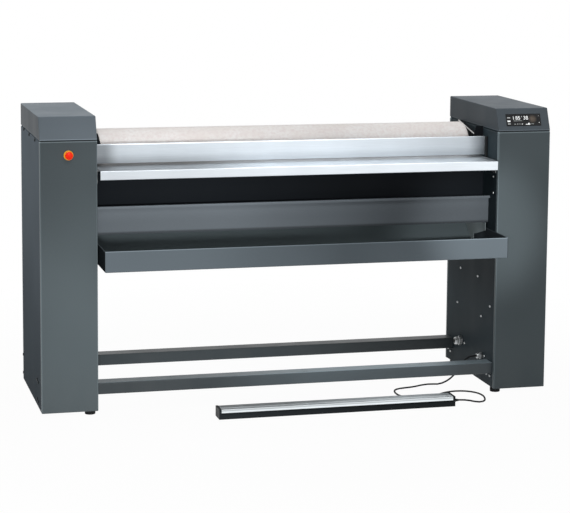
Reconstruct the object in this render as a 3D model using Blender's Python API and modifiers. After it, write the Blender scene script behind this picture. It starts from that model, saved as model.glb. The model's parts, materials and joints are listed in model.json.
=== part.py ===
"""Flatwork ironer: a padded roller over a lifting heated trough, carried between two columns.

Metres, +Z up, the floor at z = 0. X runs along the roller and the feed side faces -Y.
Depths named "..._depth" or "..._back" are measured from the front plane of the columns.
"""

import math

import bmesh
import bpy
from mathutils import Matrix, Vector

# Whole machine
overall_width = 1.800
overall_height = 1.018
column_width = 0.192
column_depth = 0.525
foot_height = 0.018
head_height = 0.078
clearance = 0.0003
cut_overrun = 0.006
cover_wall = 0.002
cover_corner = 0.003
panel_return = 0.014

# Column heads
seam_gap = 0.004
seam_inset = 0.003
head_front_setback = 0.033
head_corner = 0.003

# Side frames
frame_wall = 0.004
frame_corner = 0.005
frame_flange = 0.040
frame_neck_inset = 0.006

# Crossbars between the columns
bar_depth = 0.060
bar_height = 0.040
bar_wall = 0.003
bar_corner = 0.004
bar_centre_height = 0.090
front_bar_back = 0.020
rear_bar_inset = 0.020

# Levelling feet
foot_radius = 0.018
foot_chamfer = 0.002
foot_stem_radius = 0.006
foot_nut_radius = 0.010
foot_nut_height = 0.010
foot_stem_top = 0.050
foot_inset_x = 0.022
foot_inset_y = 0.045

# Padded roller
roller_to_rear = 0.2375
roller_drop = 0.087
padding_radius = 0.095
padding_end_gap = 0.030
padding_edge = 0.010
padding_round_share = 0.4
padding_end_lip_radius = 0.055
drum_radius = 0.078
drum_wall = 0.004
drum_end_inset = 0.008
journal_disc = 0.008
journal_radius = 0.0175
journal_neck_radius = 0.022
journal_left_stub = 0.030
journal_right_stub = 0.074
bearing_flange_radius = 0.045
bearing_spigot_radius = 0.032
bearing_flange = 0.009
bearing_boss = 0.016

# Roller drive in the right column
roller_pulley_radius = 0.060
motor_pulley_radius = 0.030
pulley_rim = 0.004
pulley_side = 0.002
belt_width = 0.016
belt_thickness = 0.004
belt_centre_gap = 0.050
motor_shaft_radius = 0.010
motor_drop = 0.273
gearbox_thickness = 0.032
gearbox_depth = 0.100
gearbox_height = 0.110
motor_radius = 0.038
motor_length = 0.145
shaft_seat = 0.018

# Heated trough and its lift
trough_clearance = 0.0025
trough_wall = 0.012
trough_end_gap = 0.0243
trough_front_angle = math.radians(200)
trough_rear_angle = math.radians(345)
trough_arm_reach = 0.150
trough_drop = 0.015
casing_radius = 0.137
casing_wall = 0.002
casing_inset_angle = math.radians(4)
arm_thickness = 0.004
arm_eye_radius = 0.018
arm_pad_width = 0.030
arm_pad_drop = 0.006
arm_pad_overlap = 0.012
pivot_pin_radius = 0.010
pivot_head_radius = 0.015
pivot_head = 0.006
heater_radius = 0.0045
heater_margin = 0.040
heater_pitch_angle = math.radians(20)
heater_front_angle = math.radians(215)
heater_rear_angle = math.radians(300)
heater_bend_radius_share = 0.5

lift_shaft_radius = 0.010
lift_cam_radius = 0.022
lift_cam_throw = 0.008
lift_cam_width = 0.012
lift_cam_gap = 0.0035
lift_shaft_left_stub = 0.026
lift_shaft_right_stub = 0.0065
lift_motor_width = 0.078
lift_motor_depth = 0.090
lift_motor_height = 0.100

# Feed table and finger guard
table_gap = 0.008
table_drop = 0.015
table_wall = 0.002
table_overhang = 0.018
table_roller_reach = 0.1125
table_lip = 0.032
table_hem = 0.010
fold_radius = 0.003
bracket_leg = 0.040
bracket_drop = 0.044
bracket_wall = 0.003
bracket_front_back = 0.020
bracket_rear_inset = 0.035
guard_roller_reach = 0.1665
guard_rise = 0.073
guard_table_gap = 0.008
guard_hem = 0.010
guard_wall = 0.002
guard_pin_radius = 0.003
guard_pin_set_back = 0.0035
guard_pin_drop = 0.008
guard_pin_grip = 0.030
recess_inset = 0.0245
recess_flange = 0.018
recess_overlap = 0.045
recess_wall = 0.0015

# Apron, laundry tray, return chute and rear cover
apron_back = 0.093
apron_drop = 0.1345
apron_height = 0.0975
apron_flange = 0.018
apron_hem = 0.008
apron_wall = 0.002
tray_reach = 0.127
tray_back = 0.220
tray_drop = 0.253
tray_height = 0.071
tray_end_gap = 0.0045
tray_wall = 0.002
chute_ledge_back = 0.050
chute_turn_back = 0.232
chute_top_inset = 0.033
chute_top_drop = 0.113
chute_wall = 0.002
rear_cover_inset = 0.025
rear_cover_rise = 0.007
rear_cover_height = 0.300
rear_cover_flange = 0.020

# Emergency stop on the left column
stop_drop = 0.049
stop_collar_radius = 0.0165
stop_collar = 0.004
stop_cap_radius = 0.013
stop_cap = 0.012
stop_cap_rounding = 0.003
stop_stem_radius = 0.006
stop_travel = 0.004
stop_travel_margin = 0.001
stop_stem_depth = 0.018
stop_switch_width = 0.034
stop_switch_depth = 0.044

# Display in the right head
display_width = 0.127
display_height = 0.042
display_slope_share = 0.474
display_glass = 0.0018
display_proud = 0.0003
module_margin = 0.006
module_depth = 0.020

# Switchgear box in the left column
switch_box_width = 0.088
switch_box_depth = 0.200
switch_box_height = 0.250
switch_box_back = 0.120
switch_box_bottom = 0.250
switch_box_corner = 0.004

# Foot control bar
foot_bar_length = 0.838
foot_bar_wall_gap = 0.190
foot_bar_reach = 0.135
foot_bar_depth = 0.060
foot_bar_height = 0.035
foot_bar_plinth = 0.016
foot_bar_core_inset = 0.004
foot_bar_core_top = 0.025
foot_bar_cap = 0.008
tread_wall = 0.003
tread_skirt = 0.013
tread_corner = 0.004

# Foot control cord and its glands
cord_diameter = 0.006
cord_step_diameters = 3
gland_radius = 0.012
gland_length = 0.022
gland_nose_radius_share = 0.6
gland_back = 0.125
gland_height = 0.113
bar_gland_radius = 0.007
bar_gland_length = 0.020
bar_gland_height = 0.014
mains_gland_radius = 0.018
mains_gland_length = 0.030
mains_gland_back = 0.345
mains_gland_height = 0.122

weld_distance = 0.00001
round_steps = 32
small_round_steps = 16
pulley_steps = 24
arc_steps = 24
cord_sides_resolution = 2

# Places worked out from the sizes above
inner_x = overall_width / 2 - column_width
outer_x = overall_width / 2
footprint_depth = column_depth + foot_bar_reach
seam_height = overall_height - head_height
roller_height = seam_height - roller_drop
table_height = roller_height - table_drop
guard_top = table_height + guard_rise
apron_top = table_height - apron_drop
apron_bottom = apron_top - apron_height
tray_top = table_height - tray_drop
tray_bottom = tray_top - tray_height
chute_top = roller_height - chute_top_drop
rear_cover_top = roller_height + rear_cover_rise
rear_cover_bottom = rear_cover_top - rear_cover_height
front_y = foot_bar_reach - footprint_depth / 2
span_half = inner_x - clearance
roller_back = column_depth - roller_to_rear
padding_half_length = inner_x - padding_end_gap
drum_half_length = padding_half_length - drum_end_inset
trough_half_length = inner_x - trough_end_gap
table_back = roller_back - table_roller_reach
guard_back = roller_back - guard_roller_reach
recess_back = table_back - recess_inset
chute_top_back = column_depth - chute_top_inset
rear_cover_back = column_depth - rear_cover_inset
stop_height = seam_height - stop_drop
foot_bar_right = inner_x - foot_bar_wall_gap
foot_bar_left = foot_bar_right - foot_bar_length
cover_top = seam_height - seam_gap / 2
head_bottom = seam_height + seam_gap / 2
roller_y = front_y + roller_back
frame_outside = inner_x + frame_wall
trough_radius = padding_radius + trough_clearance
pivot_y = roller_y + trough_arm_reach
pivot_height = roller_height
lift_angle = math.asin(trough_drop / trough_arm_reach)
trough_y = pivot_y - trough_arm_reach * math.cos(lift_angle)
trough_height = roller_height - trough_drop
arm_inside = trough_half_length + clearance
arm_pad_bottom = trough_height - casing_radius - arm_pad_drop
lift_shaft_height = arm_pad_bottom - lift_cam_gap - (lift_cam_radius - lift_cam_throw)
motor_height = roller_height - motor_drop
pulley_centre_x = inner_x + belt_centre_gap + clearance
guard_pin_y = front_y + guard_back + guard_pin_set_back
guard_pin_height = guard_top - guard_pin_drop
cord_rest_height = cord_diameter / 2 + clearance

# The cord's route: distance from the right inner wall, depth behind the column front, height
cord_route = [
    (0.0360, 0.1250, 0.1130),
    (0.0580, 0.1280, 0.1040),
    (0.0800, 0.1340, 0.0740),
    (0.1040, 0.1430, 0.0370),
    (0.1340, 0.1610, 0.0110),
    (0.1720, 0.1810, 0.0000),
    (0.2100, 0.1740, 0.0000),
    (0.2440, 0.1570, 0.0000),
    (0.2750, 0.1480, 0.0000),
    (0.3020, 0.1420, 0.0000),
    (0.3260, 0.1260, 0.0000),
    (0.3380, 0.0950, 0.0000),
    (0.3390, 0.0540, 0.0000),
    (0.3250, 0.0160, 0.0000),
    (0.2930, -0.0100, 0.0000),
    (0.2530, -0.0090, 0.0000),
    (0.2130, 0.0140, 0.0000),
    (0.1770, 0.0420, 0.0000),
    (0.1380, 0.0590, 0.0000),
    (0.1000, 0.0580, 0.0000),
    (0.0700, 0.0410, 0.0000),
    (0.0520, 0.0110, 0.0000),
    (0.0480, -0.0250, 0.0000),
    (0.0550, -0.0620, 0.0000),
    (0.0680, -0.0940, 0.0036),
    (0.0890, -0.1130, 0.0050),
    (0.1130, -0.1140, 0.0080),
    (0.1360, -0.1070, 0.0122),
]

palette = {
    "charcoal_paint": ((0.105, 0.118, 0.125), 0.36, 0.0),
    "dark_paint": ((0.030, 0.034, 0.037), 0.45, 0.0),
    "black_paint": ((0.012, 0.013, 0.014), 0.55, 0.0),
    "anodised_aluminium": ((0.74, 0.77, 0.80), 0.30, 1.0),
    "zinc_steel": ((0.46, 0.47, 0.47), 0.38, 1.0),
    "cast_grey": ((0.20, 0.21, 0.22), 0.55, 0.4),
    "roller_cloth": ((0.82, 0.78, 0.74), 0.95, 0.0),
    "black_rubber": ((0.015, 0.015, 0.015), 0.80, 0.0),
    "black_plastic": ((0.020, 0.021, 0.022), 0.45, 0.0),
    "red_plastic": ((0.75, 0.03, 0.01), 0.30, 0.0),
    "yellow_plastic": ((0.95, 0.55, 0.03), 0.35, 0.0),
    "display_glass": ((0.005, 0.005, 0.006), 0.08, 0.0),
    "motor_enamel": ((0.06, 0.10, 0.15), 0.50, 0.0),
    "heater_sheath": ((0.30, 0.29, 0.27), 0.45, 1.0),
}

for old in list(bpy.data.objects):
    bpy.data.objects.remove(old, do_unlink=True)

parts = bpy.data.collections.new("flatwork_ironer")
cutters = bpy.data.collections.new("cutters")
bpy.context.scene.collection.children.link(parts)
bpy.context.scene.collection.children.link(cutters)


def make_materials():
    made = {}
    for name, (colour, roughness, metallic) in palette.items():
        material = bpy.data.materials.new(name)
        material.use_nodes = True
        shader = material.node_tree.nodes["Principled BSDF"]
        shader.inputs["Base Color"].default_value = (*colour, 1.0)
        shader.inputs["Roughness"].default_value = roughness
        shader.inputs["Metallic"].default_value = metallic
        material.diffuse_color = (*colour, 1.0)
        made[name] = material
    return made


materials = make_materials()


def at_depth(depth):
    """The y of a place this far behind the front plane of the columns."""
    return front_y + depth


def add_object(name, mesh, material=None):
    thing = bpy.data.objects.new(name, mesh)
    if material is None:
        cutters.objects.link(thing)
        thing.hide_render = True
        thing.display_type = "WIRE"
    else:
        parts.objects.link(thing)
        mesh.materials.append(materials[material])
    return thing


def mesh_from(work, name):
    bmesh.ops.recalc_face_normals(work, faces=work.faces)
    mesh = bpy.data.meshes.new(name)
    work.to_mesh(mesh)
    work.free()
    return mesh


def block_work(low, high):
    """A bmesh box between two corners."""
    work = bmesh.new()
    bmesh.ops.create_cube(work, size=1.0)
    size = [b - a for a, b in zip(low, high)]
    centre = [(a + b) / 2 for a, b in zip(low, high)]
    bmesh.ops.scale(work, vec=size, verts=work.verts)
    bmesh.ops.translate(work, vec=centre, verts=work.verts)
    return work


def add_bevel(thing, width, segments=2):
    bevel = thing.modifiers.new("rounded_edges", "BEVEL")
    bevel.width = width
    bevel.segments = segments
    bevel.limit_method = "ANGLE"
    return bevel


def add_wall(thing, wall, offset=-1.0):
    solid = thing.modifiers.new("sheet", "SOLIDIFY")
    solid.thickness = wall
    solid.offset = offset
    solid.use_even_offset = True
    return solid


def boolean(thing, other, operation="DIFFERENCE"):
    step = thing.modifiers.new(operation.lower(), "BOOLEAN")
    step.operation = operation
    step.solver = "EXACT"
    step.object = other
    return step


def block(name, low, high, material=None, corner=0.0):
    thing = add_object(name, mesh_from(block_work(low, high), name), material)
    if corner:
        add_bevel(thing, corner)
    return thing


def drop_faces(work, directions):
    """Opens a box by deleting the faces that look along these directions."""
    work.normal_update()
    gone = [
        face
        for face in work.faces
        if any(face.normal.dot(Vector(way)) > math.cos(math.radians(5)) for way in directions)
    ]
    bmesh.ops.delete(work, geom=gone, context="FACES")


def sheet_box(name, low, high, open_ways, wall, material, corner):
    """A folded sheet box, open towards each of the given directions."""
    work = block_work(low, high)
    drop_faces(work, open_ways)
    mesh = bpy.data.meshes.new(name)
    work.to_mesh(mesh)
    work.free()
    thing = add_object(name, mesh, material)
    add_bevel(thing, corner)
    add_wall(thing, wall)
    return thing


def side_span(side, inside, outside):
    """Low and high x of a piece on one side, from its distances to the middle."""
    return sorted((side * inside, side * outside))


def turned(name, profile, place, direction, material=None, steps=round_steps):
    """A turned shape. The profile lists (distance along the direction, radius), from its tip back."""
    closed = profile[0][1] > 0.0
    mesh = bpy.data.meshes.new(name)
    points = [(radius, 0.0, along) for along, radius in profile]
    edges = [(i, i + 1) for i in range(len(points) - 1)]
    if closed:
        edges.append((len(points) - 1, 0))
    mesh.from_pydata(points, edges, [])
    thing = add_object(name, mesh, material)
    spin = thing.modifiers.new("turn", "SCREW")
    spin.steps = steps
    spin.render_steps = steps
    spin.use_merge_vertices = True
    spin.merge_threshold = weld_distance
    thing.rotation_mode = "QUATERNION"
    thing.rotation_quaternion = Vector((0, 0, 1)).rotation_difference(Vector(direction))
    thing.location = place
    return thing


def rod(name, start, end, radius, material=None, steps=small_round_steps):
    """A plain round bar, also used as the cutter of a round hole."""
    start, end = Vector(start), Vector(end)
    length = (end - start).length
    profile = [(length, 0.0), (length, radius), (0.0, radius), (0.0, 0.0)]
    return turned(name, profile, start, (end - start).normalized(), material, steps)


def drill(thing, start, end, radius, steps=small_round_steps):
    boolean(thing, rod(thing.name + "_hole", start, end, radius, None, steps))


def rounded(points, radius, steps=3):
    """The same open line with each inner corner replaced by a short arc."""
    line = [Vector(points[0])]
    for before, corner, after in zip(points, points[1:], points[2:]):
        before, corner, after = Vector(before), Vector(corner), Vector(after)
        into, out = (before - corner).normalized(), (after - corner).normalized()
        half = math.acos(max(-1.0, min(1.0, into.dot(out)))) / 2
        reach = radius / math.tan(half)
        start, end = corner + into * reach, corner + out * reach
        centre = corner + (into + out).normalized() * (radius / math.sin(half))
        for i in range(steps + 1):
            spot = start.lerp(end, i / steps) - centre
            line.append(centre + spot.normalized() * radius)
    line.append(Vector(points[-1]))
    return line


def folded_sheet(name, profile, half_length, wall, material, offset=-1.0):
    """A bent sheet that runs along X. The profile lists (depth, height) in section."""
    work = bmesh.new()
    rows = []
    for depth, height in profile:
        ends = [(x, at_depth(depth), height) for x in (-half_length, half_length)]
        rows.append([work.verts.new(end) for end in ends])
    for first, second in zip(rows, rows[1:]):
        work.faces.new((first[0], first[1], second[1], second[0]))
    mesh = bpy.data.meshes.new(name)
    work.to_mesh(mesh)
    work.free()
    thing = add_object(name, mesh, material)
    add_wall(thing, wall, offset)
    return thing


def section(name, loops, low_x, high_x, material=None):
    """A flat outline in the YZ plane with a thickness along X. Later loops are holes in the first."""
    curve = bpy.data.curves.new(name + "_outline", "CURVE")
    curve.dimensions = "2D"
    curve.fill_mode = "BOTH"
    curve.extrude = (high_x - low_x) / 2
    for loop in loops:
        spline = curve.splines.new("POLY")
        spline.points.add(len(loop) - 1)
        for point, (y, z) in zip(spline.points, loop):
            point.co = (y, z, 0.0, 1.0)
        spline.use_cyclic_u = True
    guide = bpy.data.objects.new(name + "_outline", curve)
    parts.objects.link(guide)
    graph = bpy.context.evaluated_depsgraph_get()
    mesh = bpy.data.meshes.new_from_object(guide.evaluated_get(graph))
    bpy.data.objects.remove(guide, do_unlink=True)
    work = bmesh.new()
    work.from_mesh(mesh)
    bmesh.ops.remove_doubles(work, verts=work.verts, dist=weld_distance)
    turn = Matrix(((0, 0, 1), (1, 0, 0), (0, 1, 0))).to_4x4()
    slide = Matrix.Translation(((low_x + high_x) / 2, 0.0, 0.0))
    bmesh.ops.transform(work, matrix=slide @ turn, verts=work.verts)
    bpy.data.meshes.remove(mesh)
    return add_object(name, mesh_from(work, name), material)


def arc(centre, radius, start, end, steps=arc_steps):
    """Points (y, z) on an arc about a centre."""
    angles = [start + (end - start) * i / steps for i in range(steps + 1)]
    return [(centre[0] + radius * math.cos(a), centre[1] + radius * math.sin(a)) for a in angles]


def tube(name, points, radius, material, resolution, handle="POLY"):
    """A round tube along a line of points, with closed ends."""
    curve = bpy.data.curves.new(name, "CURVE")
    curve.dimensions = "3D"
    curve.bevel_depth = radius
    curve.bevel_resolution = resolution
    curve.use_fill_caps = True
    spline = curve.splines.new(handle)
    spline.points.add(len(points) - 1)
    for point, place in zip(spline.points, points):
        point.co = (*place, 1.0)
    thing = bpy.data.objects.new(name, curve)
    parts.objects.link(thing)
    curve.materials.append(materials[material])
    return thing


def smooth_line(points, step):
    """Evenly spaced points on a smooth curve through the given ones."""
    anchors = [2 * points[0] - points[1], *points, 2 * points[-1] - points[-2]]
    fine = []
    for a, b, c, d in zip(anchors, anchors[1:], anchors[2:], anchors[3:]):
        for i in range(round_steps):
            t = i / round_steps
            fine.append(
                (2 * b + (c - a) * t + (2 * a - 5 * b + 4 * c - d) * t**2
                 + (3 * b - a - 3 * c + d) * t**3) / 2
            )
    fine.append(points[-1])
    lengths = [0.0]
    for before, after in zip(fine, fine[1:]):
        lengths.append(lengths[-1] + (after - before).length)
    count = max(2, round(lengths[-1] / step))
    line = []
    index = 0
    for i in range(count + 1):
        wanted = lengths[-1] * i / count
        while index < len(fine) - 2 and lengths[index + 1] < wanted:
            index += 1
        gap = lengths[index + 1] - lengths[index]
        share = (wanted - lengths[index]) / gap if gap else 0.0
        line.append(fine[index].lerp(fine[index + 1], min(1.0, share)))
    return line, lengths[-1]


def side_name(side):
    return "left" if side < 0 else "right"


def make_side_frame(side):
    """The load-bearing side plate with its folded flanges and the shelf that carries the head."""
    name = side_name(side) + "_side_frame"
    low_x, high_x = side_span(side, inner_x, inner_x + frame_flange)
    front = at_depth(panel_return + clearance)
    rear = at_depth(column_depth - panel_return - clearance)
    frame = sheet_box(
        name,
        (low_x, front, foot_height),
        (high_x, rear, cover_top),
        [(side, 0, 0)],
        frame_wall,
        "charcoal_paint",
        frame_corner,
    )
    shelf_x = side_span(side, inner_x + seam_inset, outer_x - seam_inset)
    shelf = block(
        name + "_shelf",
        (shelf_x[0], at_depth(seam_inset), cover_top + clearance),
        (shelf_x[1], at_depth(column_depth - seam_inset), head_bottom - clearance),
    )
    neck_x = side_span(side, inner_x + frame_neck_inset, inner_x + frame_flange - frame_neck_inset)
    neck = block(
        name + "_neck",
        (neck_x[0], front + frame_neck_inset, cover_top - frame_wall / 2),
        (neck_x[1], rear - frame_neck_inset, seam_height),
    )
    boolean(frame, neck, "UNION")
    boolean(frame, shelf, "UNION")
    foot_x = side * (inner_x + foot_inset_x)
    for foot_back in (foot_inset_y, column_depth - foot_inset_y):
        y = at_depth(foot_back)
        below = (foot_x, y, foot_height - cut_overrun)
        above = (foot_x, y, foot_height + frame_wall + cut_overrun)
        drill(frame, below, above, foot_stem_radius + clearance)
    inside = side * (inner_x - cut_overrun)
    outside = side * (frame_outside + cut_overrun)
    holes = [
        (roller_y, roller_height, bearing_spigot_radius, round_steps),
        (pivot_y, pivot_height, pivot_pin_radius, small_round_steps),
        (roller_y, lift_shaft_height, lift_shaft_radius, small_round_steps),
        (guard_pin_y, guard_pin_height, guard_pin_radius, small_round_steps),
    ]
    for y, z, radius, steps in holes:
        drill(frame, (inside, y, z), (outside, y, z), radius + clearance, steps)
    return frame


def make_covers(side):
    """The front, outer and rear panels and the sloping head cover of one column."""
    column = side_name(side)
    low_x, high_x = side_span(side, inner_x, outer_x)
    front_panel = sheet_box(
        column + "_front_panel",
        (low_x, at_depth(0.0), foot_height),
        (high_x, at_depth(panel_return), cover_top),
        [(0, 1, 0)],
        cover_wall,
        "charcoal_paint",
        cover_corner,
    )
    sheet_box(
        column + "_rear_panel",
        (low_x, at_depth(column_depth - panel_return), foot_height),
        (high_x, at_depth(column_depth), cover_top),
        [(0, -1, 0)],
        cover_wall,
        "charcoal_paint",
        cover_corner,
    )
    panel_x = side_span(side, outer_x - panel_return, outer_x)
    sheet_box(
        column + "_outer_panel",
        (panel_x[0], at_depth(panel_return + clearance), foot_height),
        (panel_x[1], at_depth(column_depth - panel_return - clearance), cover_top),
        [(-side, 0, 0)],
        cover_wall,
        "charcoal_paint",
        cover_corner,
    )
    work = block_work(
        (low_x, at_depth(0.0), head_bottom),
        (high_x, at_depth(column_depth), overall_height),
    )
    for corner in work.verts:
        if corner.co.z > seam_height + seam_gap and corner.co.y < at_depth(column_depth / 2):
            corner.co.y = at_depth(head_front_setback)
    drop_faces(work, [(0, 0, -1)])
    mesh = bpy.data.meshes.new(column + "_head_cover")
    work.to_mesh(mesh)
    work.free()
    head = add_object(column + "_head_cover", mesh, "charcoal_paint")
    add_bevel(head, head_corner)
    add_wall(head, cover_wall)
    return front_panel, head


def make_feet(side):
    profile = [
        (foot_stem_top, 0.0),
        (foot_stem_top, foot_stem_radius),
        (foot_height + frame_wall + clearance + foot_nut_height, foot_stem_radius),
        (foot_height + frame_wall + clearance + foot_nut_height, foot_nut_radius),
        (foot_height + frame_wall + clearance, foot_nut_radius),
        (foot_height + frame_wall + clearance, foot_stem_radius),
        (foot_height - clearance, foot_stem_radius),
        (foot_height - clearance, foot_radius - foot_chamfer),
        (foot_height - clearance - foot_chamfer, foot_radius),
        (0.0, foot_radius),
        (0.0, 0.0),
    ]
    x = side * (inner_x + foot_inset_x)
    for place, back in (("front", foot_inset_y), ("rear", column_depth - foot_inset_y)):
        name = f"{side_name(side)}_{place}_foot"
        turned(name, profile, (x, at_depth(back), 0.0), (0, 0, 1), "black_rubber", small_round_steps)


def make_crossbar(name, back):
    low = (-span_half, at_depth(back), bar_centre_height - bar_height / 2)
    high = (span_half, at_depth(back + bar_depth), bar_centre_height + bar_height / 2)
    sheet_box(name, low, high, [(1, 0, 0), (-1, 0, 0)], bar_wall, "dark_paint", bar_corner)


def make_roller():
    axis = (0.0, roller_y, roller_height)
    along = (1, 0, 0)
    drum = [
        (drum_half_length, drum_radius - drum_wall),
        (drum_half_length, drum_radius),
        (-drum_half_length, drum_radius),
        (-drum_half_length, drum_radius - drum_wall),
    ]
    turned("roller_drum", drum, axis, along, "zinc_steel")
    round_in = padding_edge * padding_round_share
    edge = [
        (padding_half_length, padding_radius - padding_edge),
        (padding_half_length - round_in, padding_radius - round_in),
        (padding_half_length - padding_edge, padding_radius),
    ]
    inside = [
        (drum_half_length + clearance, drum_radius + clearance),
        (drum_half_length + clearance, padding_end_lip_radius),
        (padding_half_length, padding_end_lip_radius),
    ]
    outer = edge + [(-x, r) for x, r in reversed(edge)]
    inner = [(-x, r) for x, r in reversed(inside)] + inside
    turned("roller_padding", outer + inner, axis, along, "roller_cloth")
    disc_out = drum_half_length
    for side, stub in ((-1, journal_left_stub), (1, journal_right_stub)):
        tip = inner_x + stub
        profile = [
            (tip, 0.0),
            (tip, journal_radius),
            (inner_x - clearance, journal_radius),
            (inner_x - clearance, journal_neck_radius),
            (disc_out, journal_neck_radius),
            (disc_out, drum_radius - drum_wall - clearance),
            (disc_out - journal_disc, drum_radius - drum_wall - clearance),
            (disc_out - journal_disc, 0.0),
        ]
        turned(side_name(side) + "_roller_journal", profile, axis, (side, 0, 0), "zinc_steel")


def make_bearing(side):
    """A flanged bearing on the outside of the frame, its spigot in the frame's hole."""
    bore = journal_radius + clearance
    seat = frame_outside + clearance
    profile = [
        (seat + bearing_boss, bore),
        (seat + bearing_boss, bearing_spigot_radius),
        (seat + bearing_flange, bearing_spigot_radius),
        (seat + bearing_flange, bearing_flange_radius),
        (seat, bearing_flange_radius),
        (seat, bearing_spigot_radius),
        (inner_x + clearance, bearing_spigot_radius),
        (inner_x + clearance, bore),
    ]
    place = (0.0, roller_y, roller_height)
    turned(side_name(side) + "_roller_bearing", profile, place, (side, 0, 0), "cast_grey")


def pulley_profile(radius, bore):
    half = belt_width / 2 + clearance
    outside = half + pulley_side
    floor = radius - clearance
    inner = [(-outside, bore), (outside, bore)] if bore else []
    rim = [
        (outside, radius + pulley_rim),
        (half, radius + pulley_rim),
        (half, floor),
        (-half, floor),
        (-half, radius + pulley_rim),
        (-outside, radius + pulley_rim),
    ]
    return rim, inner, outside


def make_roller_drive():
    """Two pulleys, their belt and the worm gear motor in the right column."""
    rim, inner, outside = pulley_profile(roller_pulley_radius, journal_radius + clearance)
    place = (pulley_centre_x, roller_y, roller_height)
    turned("roller_pulley", rim + inner, place, (1, 0, 0), "zinc_steel", pulley_steps)
    rim, _, outside = pulley_profile(motor_pulley_radius, 0.0)
    shaft_start = frame_outside + gearbox_thickness - shaft_seat - pulley_centre_x
    profile = [
        (outside, 0.0),
        *rim,
        (-outside, motor_shaft_radius),
        (shaft_start, motor_shaft_radius),
        (shaft_start, 0.0),
    ]
    place = (pulley_centre_x, roller_y, motor_height)
    turned("motor_pulley", profile, place, (1, 0, 0), "zinc_steel", pulley_steps)
    lean = math.asin((roller_pulley_radius - motor_pulley_radius) / motor_drop)
    loops = []
    for grow in (belt_thickness, 0.0):
        top = arc((roller_y, roller_height), roller_pulley_radius + grow, -lean, math.pi + lean)
        low = arc(
            (roller_y, motor_height), motor_pulley_radius + grow, math.pi + lean, 2 * math.pi - lean
        )
        loops.append(top + low)
    half = belt_width / 2
    section("drive_belt", loops, pulley_centre_x - half, pulley_centre_x + half, "black_rubber")
    box_x = frame_outside + clearance
    motor = block(
        "roller_gearmotor",
        (box_x, roller_y - gearbox_depth / 2, motor_height - gearbox_height / 2),
        (box_x + gearbox_thickness, roller_y + gearbox_depth / 2, motor_height + gearbox_height / 2),
        "motor_enamel",
        bar_corner,
    )
    barrel_x = box_x + motor_radius
    barrel_top = motor_height - gearbox_height / 2 + cut_overrun
    barrel = rod(
        "roller_gearmotor_barrel",
        (barrel_x, roller_y, barrel_top - motor_length),
        (barrel_x, roller_y, barrel_top),
        motor_radius,
    )
    boolean(motor, barrel, "UNION")
    hole_end = box_x + gearbox_thickness + cut_overrun
    hole_start = pulley_centre_x + shaft_start - clearance
    bore = motor_shaft_radius + clearance
    drill(motor, (hole_start, roller_y, motor_height), (hole_end, roller_y, motor_height), bore)


def make_trough():
    """The heated trough at rest, dropped clear of the roller, with its heaters, casing and arms."""
    centre = (trough_y, trough_height)
    front, rear = trough_front_angle, trough_rear_angle
    outside = trough_radius + trough_wall
    loop = arc(centre, trough_radius, front, rear) + arc(centre, outside, rear, front)
    section("heated_trough", [loop], -trough_half_length, trough_half_length, "anodised_aluminium")
    front, rear = front + casing_inset_angle, rear - casing_inset_angle
    loop = arc(centre, casing_radius - casing_wall, front, rear)
    loop += arc(centre, casing_radius, rear, front)
    section("trough_casing", [loop], -trough_half_length, trough_half_length, "black_paint")
    run = outside + 2 * clearance + heater_radius
    end = trough_half_length - heater_margin
    for place, start in (("front", heater_front_angle), ("rear", heater_rear_angle)):
        angles = (start, start + heater_pitch_angle)
        spots = [(centre[0] + run * math.cos(a), centre[1] + run * math.sin(a)) for a in angles]
        middle = start + heater_pitch_angle / 2
        bend = end + run * heater_pitch_angle * heater_bend_radius_share
        top = (bend, centre[0] + run * math.cos(middle), centre[1] + run * math.sin(middle))
        points = [(-end, *spots[0]), (end, *spots[0]), top, (end, *spots[1]), (-end, *spots[1])]
        tube(f"{place}_trough_heater", points, heater_radius, "heater_sheath", 1)


def make_trough_arm(side):
    """An end plate of the trough that reaches back to its pivot, with the pad its cam lifts."""
    name = side_name(side) + "_trough_arm"
    centre = (trough_y, trough_height)
    pivot = (pivot_y, pivot_height)
    front, rear = trough_front_angle, trough_rear_angle
    outer = arc(centre, casing_radius, front, rear)
    eye = arc(pivot, arm_eye_radius, rear - math.pi / 4, rear + math.pi / 2, small_round_steps // 2)
    eye += arc(pivot, arm_eye_radius, rear + math.pi / 2, rear + math.pi, small_round_steps // 4)[1:]
    inner = arc(centre, trough_radius, rear, front)
    hole = arc(pivot, pivot_pin_radius + clearance, 2 * math.pi, 0.0)[:-1]
    low_x, high_x = side_span(side, arm_inside, arm_inside + arm_thickness)
    arm = section(name, [outer + eye + inner, hole], low_x, high_x, "zinc_steel")
    pad = block(
        name + "_pad",
        (low_x, roller_y - arm_pad_width / 2, arm_pad_bottom),
        (high_x, roller_y + arm_pad_width / 2, arm_pad_bottom + arm_pad_drop + arm_pad_overlap),
    )
    boolean(arm, pad, "UNION")
    head = frame_outside + clearance
    profile = [
        (head + pivot_head, 0.0),
        (head + pivot_head, pivot_head_radius),
        (head, pivot_head_radius),
        (head, pivot_pin_radius),
        (arm_inside, pivot_pin_radius),
        (arm_inside, 0.0),
    ]
    place = (0.0, pivot_y, pivot_height)
    turned(side_name(side) + "_trough_pivot", profile, place, (side, 0, 0), "zinc_steel", small_round_steps)


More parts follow.
